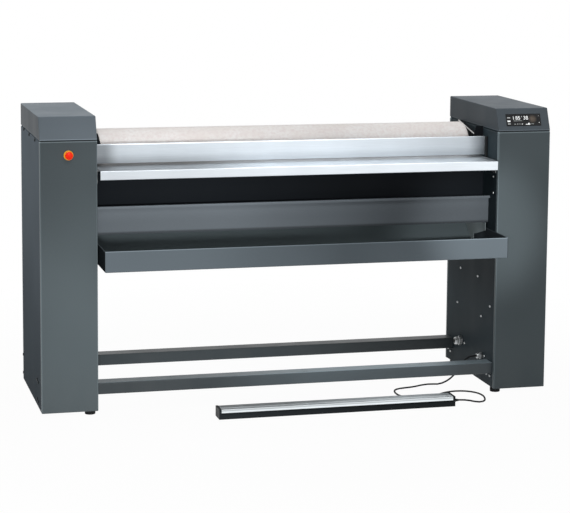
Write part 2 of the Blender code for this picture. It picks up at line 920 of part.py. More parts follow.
def make_lift():
    """The cross shaft with its two eccentric cams, and the motor that turns it."""
    start = (-(inner_x + lift_shaft_left_stub), roller_y, lift_shaft_height)
    end = (inner_x + lift_shaft_right_stub, roller_y, lift_shaft_height)
    rod("lift_shaft", start, end, lift_shaft_radius, "zinc_steel")
    centre = arm_inside + arm_thickness / 2
    for side in (-1, 1):
        low_x, high_x = side_span(side, centre - lift_cam_width / 2, centre + lift_cam_width / 2)
        rim = arc(
            (roller_y, lift_shaft_height - lift_cam_throw), lift_cam_radius, 0.0, 2 * math.pi, round_steps
        )[:-1]
        hole = arc(
            (roller_y, lift_shaft_height), lift_shaft_radius + clearance, 2 * math.pi, 0.0
        )[:-1]
        section(side_name(side) + "_lift_cam", [rim, hole], low_x, high_x, "zinc_steel")
    box_x = frame_outside + clearance
    half_depth = lift_motor_depth / 2
    half_height = lift_motor_height / 2
    motor = block(
        "lift_gearmotor",
        (-box_x - lift_motor_width, roller_y - half_depth, lift_shaft_height - half_height),
        (-box_x, roller_y + half_depth, lift_shaft_height + half_height),
        "motor_enamel",
        bar_corner,
    )
    deep = (start[0] - clearance, roller_y, lift_shaft_height)
    mouth = (-box_x + cut_overrun, roller_y, lift_shaft_height)
    drill(motor, deep, mouth, lift_shaft_radius + clearance)


def make_feed_side():
    """The feed table, its brackets, the panel in the recess below it and the finger guard."""
    half = inner_x - table_gap
    profile = rounded(
        [
            (table_back, table_height),
            (-table_overhang, table_height),
            (-table_overhang, table_height - table_lip),
            (-table_overhang + table_hem, table_height - table_lip),
        ],
        fold_radius,
    )
    folded_sheet("feed_table", profile, half, table_wall, "anodised_aluminium", 1.0)
    under = table_height - table_wall - clearance
    for side in (-1, 1):
        work = bmesh.new()
        leg = [(span_half, under - bracket_drop), (span_half, under), (span_half - bracket_leg, under)]
        rows = []
        for reach, z in leg:
            backs = (bracket_front_back, table_back - bracket_rear_inset)
            rows.append([work.verts.new((side * reach, at_depth(back), z)) for back in backs])
        for first, second in zip(rows, rows[1:]):
            corners = (first[0], first[1], second[1], second[0])
            work.faces.new(corners if side < 0 else corners[::-1])
        mesh = bpy.data.meshes.new(side_name(side) + "_table_bracket")
        work.to_mesh(mesh)
        work.free()
        bracket = add_object(mesh.name, mesh, "zinc_steel")
        add_wall(bracket, bracket_wall, 1.0)
    profile = rounded(
        [
            (recess_back, apron_top - recess_overlap),
            (recess_back, under),
            (recess_back + recess_flange, under),
        ],
        fold_radius,
    )
    folded_sheet("recess_panel", profile, span_half, recess_wall, "black_paint", -1.0)
    bottom = table_height + guard_table_gap
    profile = rounded(
        [(guard_back, bottom), (guard_back, guard_top), (guard_back + guard_hem, guard_top)],
        fold_radius,
    )
    guard = folded_sheet("finger_guard", profile, half, guard_wall, "anodised_aluminium", -1.0)
    for side in (-1, 1):
        start = (side * (half - guard_pin_grip), guard_pin_y, guard_pin_height)
        end = (side * (frame_outside - clearance), guard_pin_y, guard_pin_height)
        name = f"{side_name(side)}_guard_pin"
        boolean(guard, rod(name, start, end, guard_pin_radius), "UNION")


def make_laundry_path():
    """The apron, the tray, the chute that brings the laundry back to it and the rear cover."""
    profile = rounded(
        [
            (apron_back, apron_bottom),
            (apron_back, apron_top),
            (apron_back - apron_flange, apron_top),
            (apron_back - apron_flange, apron_top - apron_hem),
        ],
        fold_radius,
    )
    folded_sheet("apron", profile, span_half, apron_wall, "charcoal_paint", 1.0)
    half = inner_x - tray_end_gap
    sheet_box(
        "laundry_tray",
        (-half, at_depth(-tray_reach), tray_bottom),
        (half, at_depth(tray_back), tray_top),
        [(0, 0, 1), (0, 1, 0)],
        tray_wall,
        "charcoal_paint",
        cover_corner,
    )
    ledge = tray_bottom - clearance
    profile = rounded(
        [(chute_ledge_back, ledge), (chute_turn_back, ledge), (chute_top_back, chute_top)],
        fold_radius,
    )
    folded_sheet("return_chute", profile, span_half, chute_wall, "dark_paint")
    profile = rounded(
        [
            (rear_cover_back - rear_cover_flange, rear_cover_top),
            (rear_cover_back, rear_cover_top),
            (rear_cover_back, rear_cover_bottom),
        ],
        fold_radius,
    )
    folded_sheet("rear_cover", profile, span_half, cover_wall, "dark_paint", -1.0)


def make_emergency_stop(front_panel):
    x = -(inner_x + column_width / 2)
    face = (x, at_depth(0.0), stop_height)
    outward = (0, -1, 0)
    hole = stop_stem_radius + clearance
    drill(
        front_panel,
        (x, at_depth(-cut_overrun), stop_height),
        (x, at_depth(cover_wall + cut_overrun), stop_height),
        hole,
    )
    collar = [
        (clearance + stop_collar, hole),
        (clearance + stop_collar, stop_collar_radius - stop_collar / 2),
        (clearance, stop_collar_radius),
        (clearance, hole),
    ]
    turned("stop_collar", collar, face, outward, "yellow_plastic")
    under = clearance + stop_collar + stop_travel + stop_travel_margin
    cap = [
        (under + stop_cap, 0.0),
        (under + stop_cap, stop_cap_radius - stop_cap_rounding),
        (under + stop_cap - stop_cap_rounding, stop_cap_radius),
        (under, stop_cap_radius),
        (under, stop_stem_radius),
        (-stop_stem_depth, stop_stem_radius),
        (-stop_stem_depth, 0.0),
    ]
    turned("stop_button", cap, face, outward, "red_plastic")
    half = stop_switch_width / 2
    near = cover_wall + clearance
    switch = block(
        "stop_switch",
        (x - half, at_depth(near), stop_height - half),
        (x + half, at_depth(near + stop_switch_depth), stop_height + half),
        "black_plastic",
        bar_corner,
    )
    deep = stop_stem_depth + stop_travel + stop_travel_margin
    drill(
        switch,
        (x, at_depth(near - cut_overrun), stop_height),
        (x, at_depth(deep), stop_height),
        hole,
    )


def make_display(head):
    """A glass window and its module, set square to the sloping face of the right head."""
    rise = overall_height - head_bottom
    slope = math.atan2(rise, head_front_setback)
    middle = Vector(
        (
            inner_x + column_width / 2,
            at_depth(head_front_setback * display_slope_share),
            head_bottom + rise * display_slope_share,
        )
    )

    def slab(name, width, height, below, above, material=None):
        low = (-width / 2, -height / 2, below)
        high = (width / 2, height / 2, above)
        thing = block(name, low, high, material)
        thing.rotation_euler = (slope, 0.0, 0.0)
        thing.location = middle
        return thing

    window = slab(
        "display_window_cut", display_width, display_height, -cover_wall - cut_overrun, cut_overrun
    )
    boolean(head, window)
    fit = 2 * clearance
    slab(
        "display_glass",
        display_width - fit,
        display_height - fit,
        display_proud - display_glass,
        display_proud,
        "display_glass",
    )
    slab(
        "display_module",
        display_width + 2 * module_margin,
        display_height + 2 * module_margin,
        -cover_wall - clearance - module_depth,
        -cover_wall - clearance,
        "black_plastic",
    )


def make_switch_box():
    x = frame_outside + clearance
    block(
        "switchgear_box",
        (-x - switch_box_width, at_depth(switch_box_back), switch_box_bottom),
        (-x, at_depth(switch_box_back + switch_box_depth), switch_box_bottom + switch_box_height),
        "black_plastic",
        switch_box_corner,
    )


def make_foot_bar():
    """The foot control: a plinth with raised ends, and the tread that sinks between them."""
    front = at_depth(-foot_bar_reach)
    rear = front + foot_bar_depth
    plinth = block(
        "foot_bar_base",
        (foot_bar_left, front, 0.0),
        (foot_bar_right, rear, foot_bar_plinth),
        "black_plastic",
    )
    inset = foot_bar_core_inset
    core = block(
        "foot_bar_core",
        (foot_bar_left + inset, front + inset, foot_bar_plinth / 2),
        (foot_bar_right - inset, rear - inset, foot_bar_core_top),
    )
    boolean(plinth, core, "UNION")
    for side, start in ((-1, foot_bar_left), (1, foot_bar_right - foot_bar_cap)):
        cap = block(
            f"foot_bar_{side_name(side)}_cap",
            (start, front, foot_bar_plinth / 2),
            (start + foot_bar_cap, rear, foot_bar_height),
        )
        boolean(plinth, cap, "UNION")
    sheet_box(
        "foot_bar_tread",
        (foot_bar_left + foot_bar_cap + clearance, front, foot_bar_height - tread_skirt),
        (foot_bar_right - foot_bar_cap - clearance, rear, foot_bar_height),
        [(0, 0, -1), (1, 0, 0), (-1, 0, 0)],
        tread_wall,
        "anodised_aluminium",
        tread_corner,
    )


def gland_profile(radius, length, nose, bore=0.0):
    shoulder = length / 2
    return [
        (length, bore),
        (length, nose),
        (shoulder, radius),
        (0.0, radius),
        (0.0, bore),
    ]


def make_cord_and_glands():
    """The glands on the right frame, the strain relief on the foot bar and the cord between them."""
    wall = inner_x - clearance
    nose = gland_radius * gland_nose_radius_share
    place = (wall, at_depth(gland_back), gland_height)
    profile = gland_profile(gland_radius, gland_length, nose)
    turned("foot_cord_gland", profile, place, (-1, 0, 0), "zinc_steel", small_round_steps)
    nose = mains_gland_radius * gland_nose_radius_share
    place = (wall, at_depth(mains_gland_back), mains_gland_height)
    profile = gland_profile(mains_gland_radius, mains_gland_length, nose)
    turned("mains_cable_gland", profile, place, (-1, 0, 0), "zinc_steel", small_round_steps)
    nose = bar_gland_radius * gland_nose_radius_share
    bar_end = foot_bar_right + clearance
    bar_y = at_depth(-foot_bar_reach + foot_bar_depth / 2)
    profile = gland_profile(bar_gland_radius, bar_gland_length, nose)
    place = (bar_end, bar_y, bar_gland_height)
    turned("foot_bar_strain_relief", profile, place, (1, 0, 0), "black_rubber", small_round_steps)

    start = Vector((wall - gland_length - clearance, at_depth(gland_back), gland_height))
    end = Vector((bar_end + bar_gland_length + clearance, bar_y, bar_gland_height))
    straight = Vector((cord_diameter, 0.0, 0.0))
    route = [Vector((inner_x - out, at_depth(back), z)) for out, back, z in cord_route]
    anchors = [start - straight, *route, end + straight]
    line, length = smooth_line(anchors, cord_step_diameters * cord_diameter)
    for spot in line:
        spot.z = max(spot.z, cord_rest_height)
    tube(
        "foot_cord",
        [start, *line, end],
        cord_diameter / 2,
        "black_rubber",
        cord_sides_resolution,
    )
    print(f"cord length {length + 2 * cord_diameter:.3f} m in {len(line) + 2} points")


def hang_on_axis(name, place, names):
    """An empty on a joint's axis that carries the pieces that move on it."""
    anchor = bpy.data.objects.new(name, None)
    anchor.location = place
    parts.objects.link(anchor)
    for piece in names:
        parts.objects[piece].parent = anchor
        parts.objects[piece].matrix_parent_inverse = Matrix.Translation(place).inverted()


def shade(thing):
    if thing.type == "MESH":
        thing.data.shade_smooth()
        thing.data.set_sharp_from_angle(angle=math.radians(35))


for side in (-1, 1):
    make_side_frame(side)
    front_panel, head = make_covers(side)
    if side < 0:
        make_emergency_stop(front_panel)
    else:
        make_display(head)
    make_feet(side)
    make_bearing(side)
    make_trough_arm(side)
make_crossbar("front_crossbar", front_bar_back)
make_crossbar("rear_crossbar", column_depth - rear_bar_inset - bar_depth)
make_roller()
make_roller_drive()
make_trough()
make_lift()
make_feed_side()
make_laundry_path()
make_switch_box()
make_foot_bar()
make_cord_and_glands()

roller_axis = (0.0, roller_y, roller_height)
roller_pieces = ["roller_drum", "roller_padding", "left_roller_journal", "right_roller_journal"]
hang_on_axis("roller_axis", roller_axis, roller_pieces + ["roller_pulley"])
trough_pieces = ["heated_trough", "trough_casing", "front_trough_heater", "rear_trough_heater"]
trough_pieces += ["left_trough_arm", "right_trough_arm"]
hang_on_axis("trough_axis", (0.0, pivot_y, pivot_height), trough_pieces)
lift_pieces = ["lift_shaft", "left_lift_cam", "right_lift_cam"]
hang_on_axis("lift_axis", (0.0, roller_y, lift_shaft_height), lift_pieces)
hang_on_axis("guard_axis", (0.0, guard_pin_y, guard_pin_height), ["finger_guard"])
tread_axis = ((foot_bar_left + foot_bar_right) / 2, at_depth(foot_bar_depth / 2 - foot_bar_reach), 0.0)
hang_on_axis("tread_axis", tread_axis, ["foot_bar_tread"])
for thing in parts.objects:
    shade(thing)
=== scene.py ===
import json
import math
import random

import bmesh
import bpy
from mathutils import Matrix, Vector

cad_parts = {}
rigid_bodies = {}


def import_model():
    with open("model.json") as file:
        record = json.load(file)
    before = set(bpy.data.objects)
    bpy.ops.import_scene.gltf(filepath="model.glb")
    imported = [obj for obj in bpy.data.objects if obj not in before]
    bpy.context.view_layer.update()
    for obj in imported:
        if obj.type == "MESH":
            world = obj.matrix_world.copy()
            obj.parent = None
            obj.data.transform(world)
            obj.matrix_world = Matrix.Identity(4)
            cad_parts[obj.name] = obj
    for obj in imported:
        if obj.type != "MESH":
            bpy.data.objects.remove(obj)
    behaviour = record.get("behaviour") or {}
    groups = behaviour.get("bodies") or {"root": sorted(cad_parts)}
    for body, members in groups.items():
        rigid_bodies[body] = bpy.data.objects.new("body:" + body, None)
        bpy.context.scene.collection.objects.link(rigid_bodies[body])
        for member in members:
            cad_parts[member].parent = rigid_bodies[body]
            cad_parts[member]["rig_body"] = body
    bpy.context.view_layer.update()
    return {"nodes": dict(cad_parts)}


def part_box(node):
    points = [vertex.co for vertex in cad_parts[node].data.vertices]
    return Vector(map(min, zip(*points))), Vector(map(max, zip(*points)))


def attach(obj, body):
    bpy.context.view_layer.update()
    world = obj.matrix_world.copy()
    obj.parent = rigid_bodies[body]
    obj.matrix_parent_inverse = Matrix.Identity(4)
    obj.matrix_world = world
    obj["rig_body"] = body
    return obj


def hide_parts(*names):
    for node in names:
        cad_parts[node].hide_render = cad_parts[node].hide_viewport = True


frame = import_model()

print("places from the frame")
nodes = frame["nodes"]
panelLow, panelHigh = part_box("right_front_panel")
headLow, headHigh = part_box("right_head_cover")
innerX, outerX = panelLow.x, panelHigh.x  # the faces of a column
frontY, rearY = panelLow.y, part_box("right_rear_panel")[1].y
sides = (-1, 1)


def sideName(side):
    return "left" if side < 0 else "right"


def both(part):
    return ["left_" + part, "right_" + part]


# Camera

print("camera")
camera = {
    "spot": (-1.6954, -6.5664, 1.6751),
    "turn": 0.2507,  # radians to the right of +Y
    "tilt": 0.1292,  # radians down
    "roll": 0.0074,
    "lens": 122.89,
    "sensor": 36.0,
    "shiftY": -0.15,
}


def makeCamera(setting):
    turn, tilt, roll = setting["turn"], setting["tilt"], setting["roll"]
    ahead = Vector((math.sin(turn) * math.cos(tilt), math.cos(turn) * math.cos(tilt), -math.sin(tilt)))
    level = Vector((math.cos(turn), -math.sin(turn), 0.0))
    upright = level.cross(ahead)
    across = level * math.cos(roll) + upright * math.sin(roll)
    upward = upright * math.cos(roll) - level * math.sin(roll)
    lens = bpy.data.cameras.new("photoCamera")
    lens.lens = setting["lens"]
    lens.sensor_width = setting["sensor"]
    lens.shift_y = setting["shiftY"]
    lens.clip_end = 200.0
    eye = bpy.data.objects.new("photoCamera", lens)
    turned = Matrix((across, upward, -ahead)).transposed().to_4x4()
    eye.matrix_world = Matrix.Translation(setting["spot"]) @ turned
    bpy.context.scene.collection.objects.link(eye)
    bpy.context.scene.camera = eye


makeCamera(camera)
bpy.context.scene.view_settings.view_transform = "Standard"


# Node trees: one method adds any node, and a wire does the sums

class Wire:
    def __init__(self, graph, socket):
        self.graph = graph
        self.socket = socket

    def sum(self, operation, first, second):
        return self.graph.add("ShaderNodeMath", {"operation": operation}, {0: first, 1: second})

    def __add__(self, other):
        return self.sum("ADD", self, other)

    def __radd__(self, other):
        return self.sum("ADD", other, self)

    def __sub__(self, other):
        return self.sum("SUBTRACT", self, other)

    def __rsub__(self, other):
        return self.sum("SUBTRACT", other, self)

    def __mul__(self, other):
        return self.sum("MULTIPLY", self, other)

    def __rmul__(self, other):
        return self.sum("MULTIPLY", other, self)


class Graph:
    def __init__(self, tree):
        self.tree = tree

    def add(self, kind, settings=None, sockets=None, output=0):
        node = self.tree.nodes.new(kind)
        for name, value in (settings or {}).items():
            setattr(node, name, value)
        for name, value in (sockets or {}).items():
            if isinstance(value, Wire):
                self.tree.links.new(value.socket, node.inputs[name])
            else:
                node.inputs[name].default_value = value
        return Wire(self, node.outputs[output])

    def beside(self, wire, name):
        # Another output of the node that a wire comes from
        return Wire(self, wire.socket.node.outputs[name])


class Finish(Graph):
    def __init__(self, name, uniform):
        self.material = bpy.data.materials.new(name)
        self.material.use_nodes = True
        super().__init__(self.material.node_tree)
        self.shader = self.tree.nodes["Principled BSDF"]
        for socket, value in uniform.items():
            self.shader.inputs[socket].default_value = value
        self.place = self.add("ShaderNodeTexCoord", output="Object")

    def noise(self, scale, stretch=(1, 1, 1), detail=3.0, rough=0.5):
        spot = self.add("ShaderNodeMapping", None, {"Vector": self.place, "Scale": stretch})
        values = {"Vector": spot, "Scale": scale, "Detail": detail, "Roughness": rough}
        return self.add("ShaderNodeTexNoise", None, values)

    def spread(self, value, low, high, newLow=0.0, newHigh=1.0, kind="LINEAR"):
        values = {"Value": value, "From Min": low, "From Max": high, "To Min": newLow, "To Max": newHigh}
        return self.add("ShaderNodeMapRange", {"interpolation_type": kind}, values)

    def blend(self, share, first, second):
        shades = [s if isinstance(s, Wire) else (*s, 1.0) for s in (first, second)]
        values = {"Factor": share, 6: shades[0], 7: shades[1]}
        return self.add("ShaderNodeMix", {"data_type": "RGBA"}, values, 2)

    def along(self, axis):
        return self.add("ShaderNodeSeparateXYZ", None, {0: self.place}, "XYZ".index(axis))

    def withPaintedLight(self, colour, paintedLight):
        # Painted light and shade: darker or lighter by a soft step along an axis: (axis, from, to, share at
        # the far end), with two heights where it comes in only from the first to the second
        for axis, start, end, share, *above in paintedLight:
            step = self.softStep(axis, start, end) * (share - 1.0)
            if above:
                step = step * self.softStep("Z", *above)
            colour = self.scaled(colour, step + 1.0)
        return colour

    def softStep(self, axis, start, end):
        low, high = min(start, end), max(start, end)
        ends = (0.0, 1.0) if start < end else (1.0, 0.0)
        return self.spread(self.along(axis), low, high, *ends, "SMOOTHSTEP")

    def scaled(self, colour, share):
        return self.add("ShaderNodeVectorMath", {"operation": "SCALE"}, {0: colour, "Scale": share})

    def withPaintedEdges(self, colour, edges):
        # Painted highlights and painted shade along edges and faces:
        # (axis, place on both sides of the middle, width, share of the colour there)
        for axis, place, width, share in edges:
            away = self.add("ShaderNodeMath", {"operation": "ABSOLUTE"}, {0: self.along(axis)}) - place
            off = self.add("ShaderNodeMath", {"operation": "ABSOLUTE"}, {0: away})
            colour = self.scaled(colour, self.spread(off, width * 0.6, width, share, 1.0))
        return colour

    def bump(self, relief, distance, strength):
        values = {"Height": relief, "Distance": distance, "Strength": strength}
        return self.add("ShaderNodeBump", None, values)

    def dress(self, sockets):
        for name, wire in sockets.items():
            self.tree.links.new(wire.socket, self.shader.inputs[name])
        return self.material


def tinted(colour, share):
    return tuple(min(1.0, c * share) for c in colour)


# Finishes

print("finishes")


def paintFinish(name, colour, roughness, level, paintedLight=(), edges=()):
    # Powder coat: a fine skin like orange peel, soft clouds in the colour, dust near the floor, painted
    # light and shade
    finish = Finish(name, {"Specular IOR Level": level})
    cloud = finish.noise(2.2, detail=2.0)
    speck = finish.noise(520.0, detail=1.0)
    peel = finish.noise(700.0, detail=2.0)
    sweep = finish.noise(9.0, stretch=(1.0, 1.0, 0.25), detail=3.0)
    body = finish.blend(finish.spread(cloud, 0.3, 0.7), tinted(colour, 0.93), tinted(colour, 1.07))
    # Painted light and shade along axes, then painted highlights and shade along edges
    body = finish.withPaintedEdges(finish.withPaintedLight(body, paintedLight), edges)
    grain = finish.blend(finish.spread(speck, 0.55, 0.8, 0.0, 0.25), body, tinted(colour, 1.3))
    dust = finish.spread(finish.along("Z"), 0.0, 0.22, 0.05, 0.0)
    shade = finish.blend(dust * finish.spread(sweep, 0.35, 0.7), grain, (0.32, 0.31, 0.29))
    gloss = finish.spread(sweep, 0.3, 0.7, roughness - 0.04, roughness + 0.05)
    skin = finish.bump(peel, 0.00006, 0.6)
    return finish.dress({"Base Color": shade, "Roughness": gloss, "Normal": skin})


def brushedFinish(name, colour, roughness, grain, paintedLight=()):
    # Rolled or brushed sheet: fine lines along the grain, broad soft streaks across the length, and painted
    # reflections and shade along axes
    finish = Finish(name, {"Metallic": 1.0})
    lines = finish.noise(260.0, stretch=grain, detail=4.0, rough=0.65)
    bands = finish.noise(5.0, stretch=(1.0, 0.15, 0.15), detail=3.0)
    smear = finish.noise(26.0, detail=3.0)
    tone = finish.blend(finish.spread(bands, 0.3, 0.7), tinted(colour, 0.95), tinted(colour, 1.05))
    shade = finish.blend(finish.spread(lines, 0.35, 0.8, 0.0, 0.35), tone, tinted(colour, 0.80))
    # Painted reflections and shade along axes
    shade = finish.withPaintedLight(shade, paintedLight)
    worn = finish.spread(smear, 0.35, 0.75, roughness - 0.03, roughness + 0.08)
    gloss = worn + finish.spread(lines, 0.3, 0.7, -0.04, 0.04)
    skin = finish.bump(lines + bands * 0.5, 0.00005, 0.5)
    return finish.dress({"Base Color": shade, "Roughness": gloss, "Normal": skin})


def zincFinish(name, colour, roughness):
    # Zinc plate: small crystal patches and a faint yellow tone
    finish = Finish(name, {"Metallic": 0.9})
    patch = finish.add("ShaderNodeTexVoronoi", None, {"Vector": finish.place, "Scale": 140.0}, 1)
    grey = finish.add("ShaderNodeRGBToBW", None, {0: patch})
    stain = finish.noise(18.0, detail=4.0)
    tone = finish.blend(finish.spread(grey, 0.0, 1.0), tinted(colour, 0.86), tinted(colour, 1.12))
    shade = finish.blend(finish.spread(stain, 0.5, 0.8, 0.0, 0.25), tone, (0.42, 0.38, 0.30))
    gloss = finish.spread(grey, 0.0, 1.0, roughness - 0.05, roughness + 0.10)
    skin = finish.bump(finish.noise(400.0, detail=2.0), 0.00005, 0.5)
    return finish.dress({"Base Color": shade, "Roughness": gloss, "Normal": skin})


def grainFinish(name, colour, roughness, scale, depth=0.0001, lift=1.6, level=0.5):
    # Moulded plastic, rubber and castings: a fine grain, with a slightly paler worn tone
    finish = Finish(name, {"Specular IOR Level": level})
    grain = finish.noise(scale, detail=3.0)
    rub = finish.noise(22.0, detail=4.0)
    body = finish.blend(finish.spread(grain, 0.3, 0.7), tinted(colour, 0.88), tinted(colour, 1.10))
    shade = finish.blend(finish.spread(rub, 0.55, 0.85, 0.0, 0.4), body, tinted(colour, lift))
    gloss = finish.spread(rub, 0.3, 0.75, roughness - 0.05, roughness + 0.08)
    skin = finish.bump(grain, depth, 0.6)
    return finish.dress({"Base Color": shade, "Roughness": gloss, "Normal": skin})


def clothFinish(name, colour, paintedLight):
    # Needled roller cloth: a close weave, fibre fluff, warm press marks, and painted light along it
    finish = Finish(name, {"Sheen Weight": 0.25, "Sheen Roughness": 0.5, "Specular IOR Level": 0.15})
    waveX = finish.add("ShaderNodeTexWave", {"bands_direction": "X"}, {
        "Vector": finish.place, "Scale": 160.0, "Distortion": 1.5, "Detail": 2.0, "Detail Scale": 3.0})
    fluff = finish.noise(330.0, detail=4.0, rough=0.7)
    blotch = finish.noise(11.0, stretch=(0.7, 1.0, 1.0), detail=4.0, rough=0.6)
    patch = finish.noise(85.0, detail=3.0)
    warm = finish.blend(finish.spread(blotch, 0.38, 0.66), tinted(colour, 1.03), (0.72, 0.675, 0.65))
    mottled = finish.blend(finish.spread(patch, 0.42, 0.68, 0.0, 0.8), warm, (0.69, 0.63, 0.62))
    weave = finish.spread(waveX, 0.0, 1.0, 0.0, 0.10)
    shade = finish.blend(weave + finish.spread(fluff, 0.5, 0.8, 0.0, 0.15), mottled, (0.52, 0.48, 0.45))
    # Painted light along the roller
    shade = finish.withPaintedLight(shade, paintedLight)
    gloss = finish.spread(fluff, 0.2, 0.8, 0.85, 1.0)
    skin = finish.bump(waveX * 0.5 + fluff, 0.0006, 0.8)
    return finish.dress({"Base Color": shade, "Roughness": gloss, "Normal": skin})


def lampFinish(name, colour, strength):
    # Lit shapes behind the display's glass, a little uneven as a back light is
    finish = Finish(name, {"Roughness": 0.5, "Emission Strength": strength})
    glow = finish.noise(120.0, detail=2.0)
    shade = finish.blend(finish.spread(glow, 0.3, 0.7), tinted(colour, 0.75), colour)
    return finish.dress({"Base Color": shade, "Emission Color": shade})


def glassFinish(name, hazeSpot, hazeReach, haze):
    # Black screen-printed window with faint wiping marks, and one soft brown glow behind it
    finish = Finish(name, {
        "Coat Weight": 0.15, "Coat Roughness": 0.05, "Specular IOR Level": 0.15, "Emission Strength": 1.0})
    spots = {0: finish.place, 1: hazeSpot}
    away = finish.add("ShaderNodeVectorMath", {"operation": "DISTANCE"}, spots, "Value")
    mottle = finish.noise(140.0, detail=3.0)
    near = finish.spread(away, hazeReach * 0.15, hazeReach, 1.0, 0.0)
    share = near * finish.spread(mottle, 0.3, 0.7, 0.6, 1.0)
    glow = finish.blend(share, (0.0, 0.0, 0.0), haze)
    wipe = finish.noise(30.0, stretch=(1.0, 3.0, 3.0), detail=4.0)
    shade = finish.blend(finish.spread(wipe, 0.4, 0.7), (0.010, 0.011, 0.012), (0.022, 0.023, 0.024))
    gloss = finish.spread(wipe, 0.3, 0.7, 0.10, 0.24)
    skin = finish.bump(wipe, 0.00002, 0.3)
    return finish.dress({"Base Color": shade, "Roughness": gloss, "Normal": skin, "Emission Color": glow})


trayLow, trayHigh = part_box("laundry_tray")
apronLow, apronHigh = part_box("apron")
tableTop, guardTop, barTop, treadTop = (
    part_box(node)[1].z for node in ("feed_table", "finger_guard", "front_crossbar", "foot_bar_tread"))
glassLow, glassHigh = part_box("display_glass")
hazeOffset = Vector((0.0343, 0.0, 0.003))  # of the glow from the middle of the glass

# Where painted light or shade comes in along X, as the soft steps of painted light read it
onLeft, onRight, overBoth = ("X", -0.5, -0.7), ("X", 0.5, 0.7), ("X", -0.6, 0.7)
headLid = (headHigh.z - 0.002, headHigh.z - 0.0005)
tableLid = (tableTop - 0.002, tableTop - 0.001)
treadLid = (treadTop - 0.003, treadTop - 0.001)
lengthwise = (0.04, 1.0, 1.0)  # a grain along X

paints = {
    # Painted light and shade on the column panels: the left column darker and the right one lighter high up,
    # painted highlights along the vertical edges and the top edge
    "charcoalPaint": {
        "colour": (0.068, 0.084, 0.091), "roughness": 0.45, "level": 0.12,
        "paintedLight": [(*onLeft, 0.81, 0.40, 0.76), (*onLeft, 1.15, 0.78, 0.90), (*onRight, 1.25, 0.68, 0.88)],
        "edges": [("X", innerX, 0.004, 1.7), ("X", outerX, 0.004, 1.6), ("Z", panelHigh.z, 0.005, 2.2)],
    },
    # A lighter copy of the column paint that stands in for the light on the heads; painted shade to the
    # right, a painted lighter top, a painted highlight along the lower edge, painted shade on the outer and
    # inner faces
    "headPaint": {
        "colour": (0.118, 0.141, 0.161), "roughness": 0.45, "level": 0.04,
        "paintedLight": [(*overBoth, 0.73), ("Z", *headLid, 1.18), (*overBoth, 0.87, *headLid)],
        "edges": [("Z", headLow.z, 0.004, 1.7), ("X", outerX, 0.0006, 0.31), ("X", innerX, 0.0006, 0.68)],
    },
    # A lighter copy of the column paint without gloss, which stands in for light and reflection on the outer
    # panels; painted shade makes it darker towards the floor
    "sidePaint": {
        "colour": (0.099, 0.117, 0.133), "roughness": 0.60, "level": 0.0,
        "paintedLight": [("Z", 0.80, 0.05, 0.75)],
    },
    # A darker copy of the column paint that paints the shade on the side frames' inner walls, painted darker
    # again from 0.45 m up and lighter above 0.88 m
    "innerPaint": {
        "colour": (0.036, 0.051, 0.060), "roughness": 0.50, "level": 0.03,
        "paintedLight": [("Z", 0.25, 0.45, 0.50), ("Z", 0.75, 0.88, 1.7)],
    },
    # A lighter copy of the column paint that stands in for light on the apron; painted shade to the right
    # and lower down, painted shade on the rounded lower hem, a painted highlight along the top edge
    "apronPaint": {
        "colour": (0.138, 0.159, 0.178), "roughness": 0.45, "level": 0.12,
        "paintedLight": [
            ("X", 0.15, 0.55, 0.62), ("X", -0.1, -0.5, 0.85),
            ("Z", apronHigh.z - 0.0035, apronLow.z + 0.034, 0.80),
            ("Z", apronLow.z + 0.0115, apronLow.z + 0.003, 0.42),
        ],
        "edges": [("Z", apronHigh.z, 0.003, 1.4)],
    },
    # Painted light and shade on the tray: its left end face dark as in the column's shadow, its right end
    # wall darker, lighter and darker bands along it, a painted highlight along the top edge
    "trayPaint": {
        "colour": (0.078, 0.094, 0.106), "roughness": 0.55, "level": 0.0,
        "paintedLight": [
            ("X", trayLow.x + 0.0012, trayLow.x + 0.0002, 0.12),
            ("X", trayHigh.x - 0.0035, trayHigh.x - 0.0025, 0.3),
            ("X", -0.1, -0.5, 1.10), ("X", 0.1, 0.35, 1.45), ("X", 0.45, 0.67, 0.88),
        ],
        "edges": [("Z", trayHigh.z, 0.003, 1.9)],
    },
    # Painted light on the front crossbar: much lighter towards the right, darker again at its right end, and
    # a painted highlight along the top edge
    "barPaint": {
        "colour": (0.026, 0.033, 0.037), "roughness": 0.45, "level": 0.40,
        "paintedLight": [("X", -0.4, 0.3, 3.1), ("X", 0.45, 0.65, 0.5)],
        "edges": [("Z", barTop, 0.0012, 5.0)],
    },
    "darkPaint": {"colour": (0.034, 0.043, 0.048), "roughness": 0.45, "level": 0.40},
    "chutePaint": {"colour": (0.064, 0.080, 0.086), "roughness": 0.50, "level": 0.10},
    # A much paler copy of the dark paint that stands in for the light on the chute's end plates
    "endPaint": {"colour": (0.195, 0.228, 0.236), "roughness": 0.55, "level": 0.02},
    "blackPaint": {"colour": (0.009, 0.011, 0.0135), "roughness": 0.60, "level": 0.08},
}
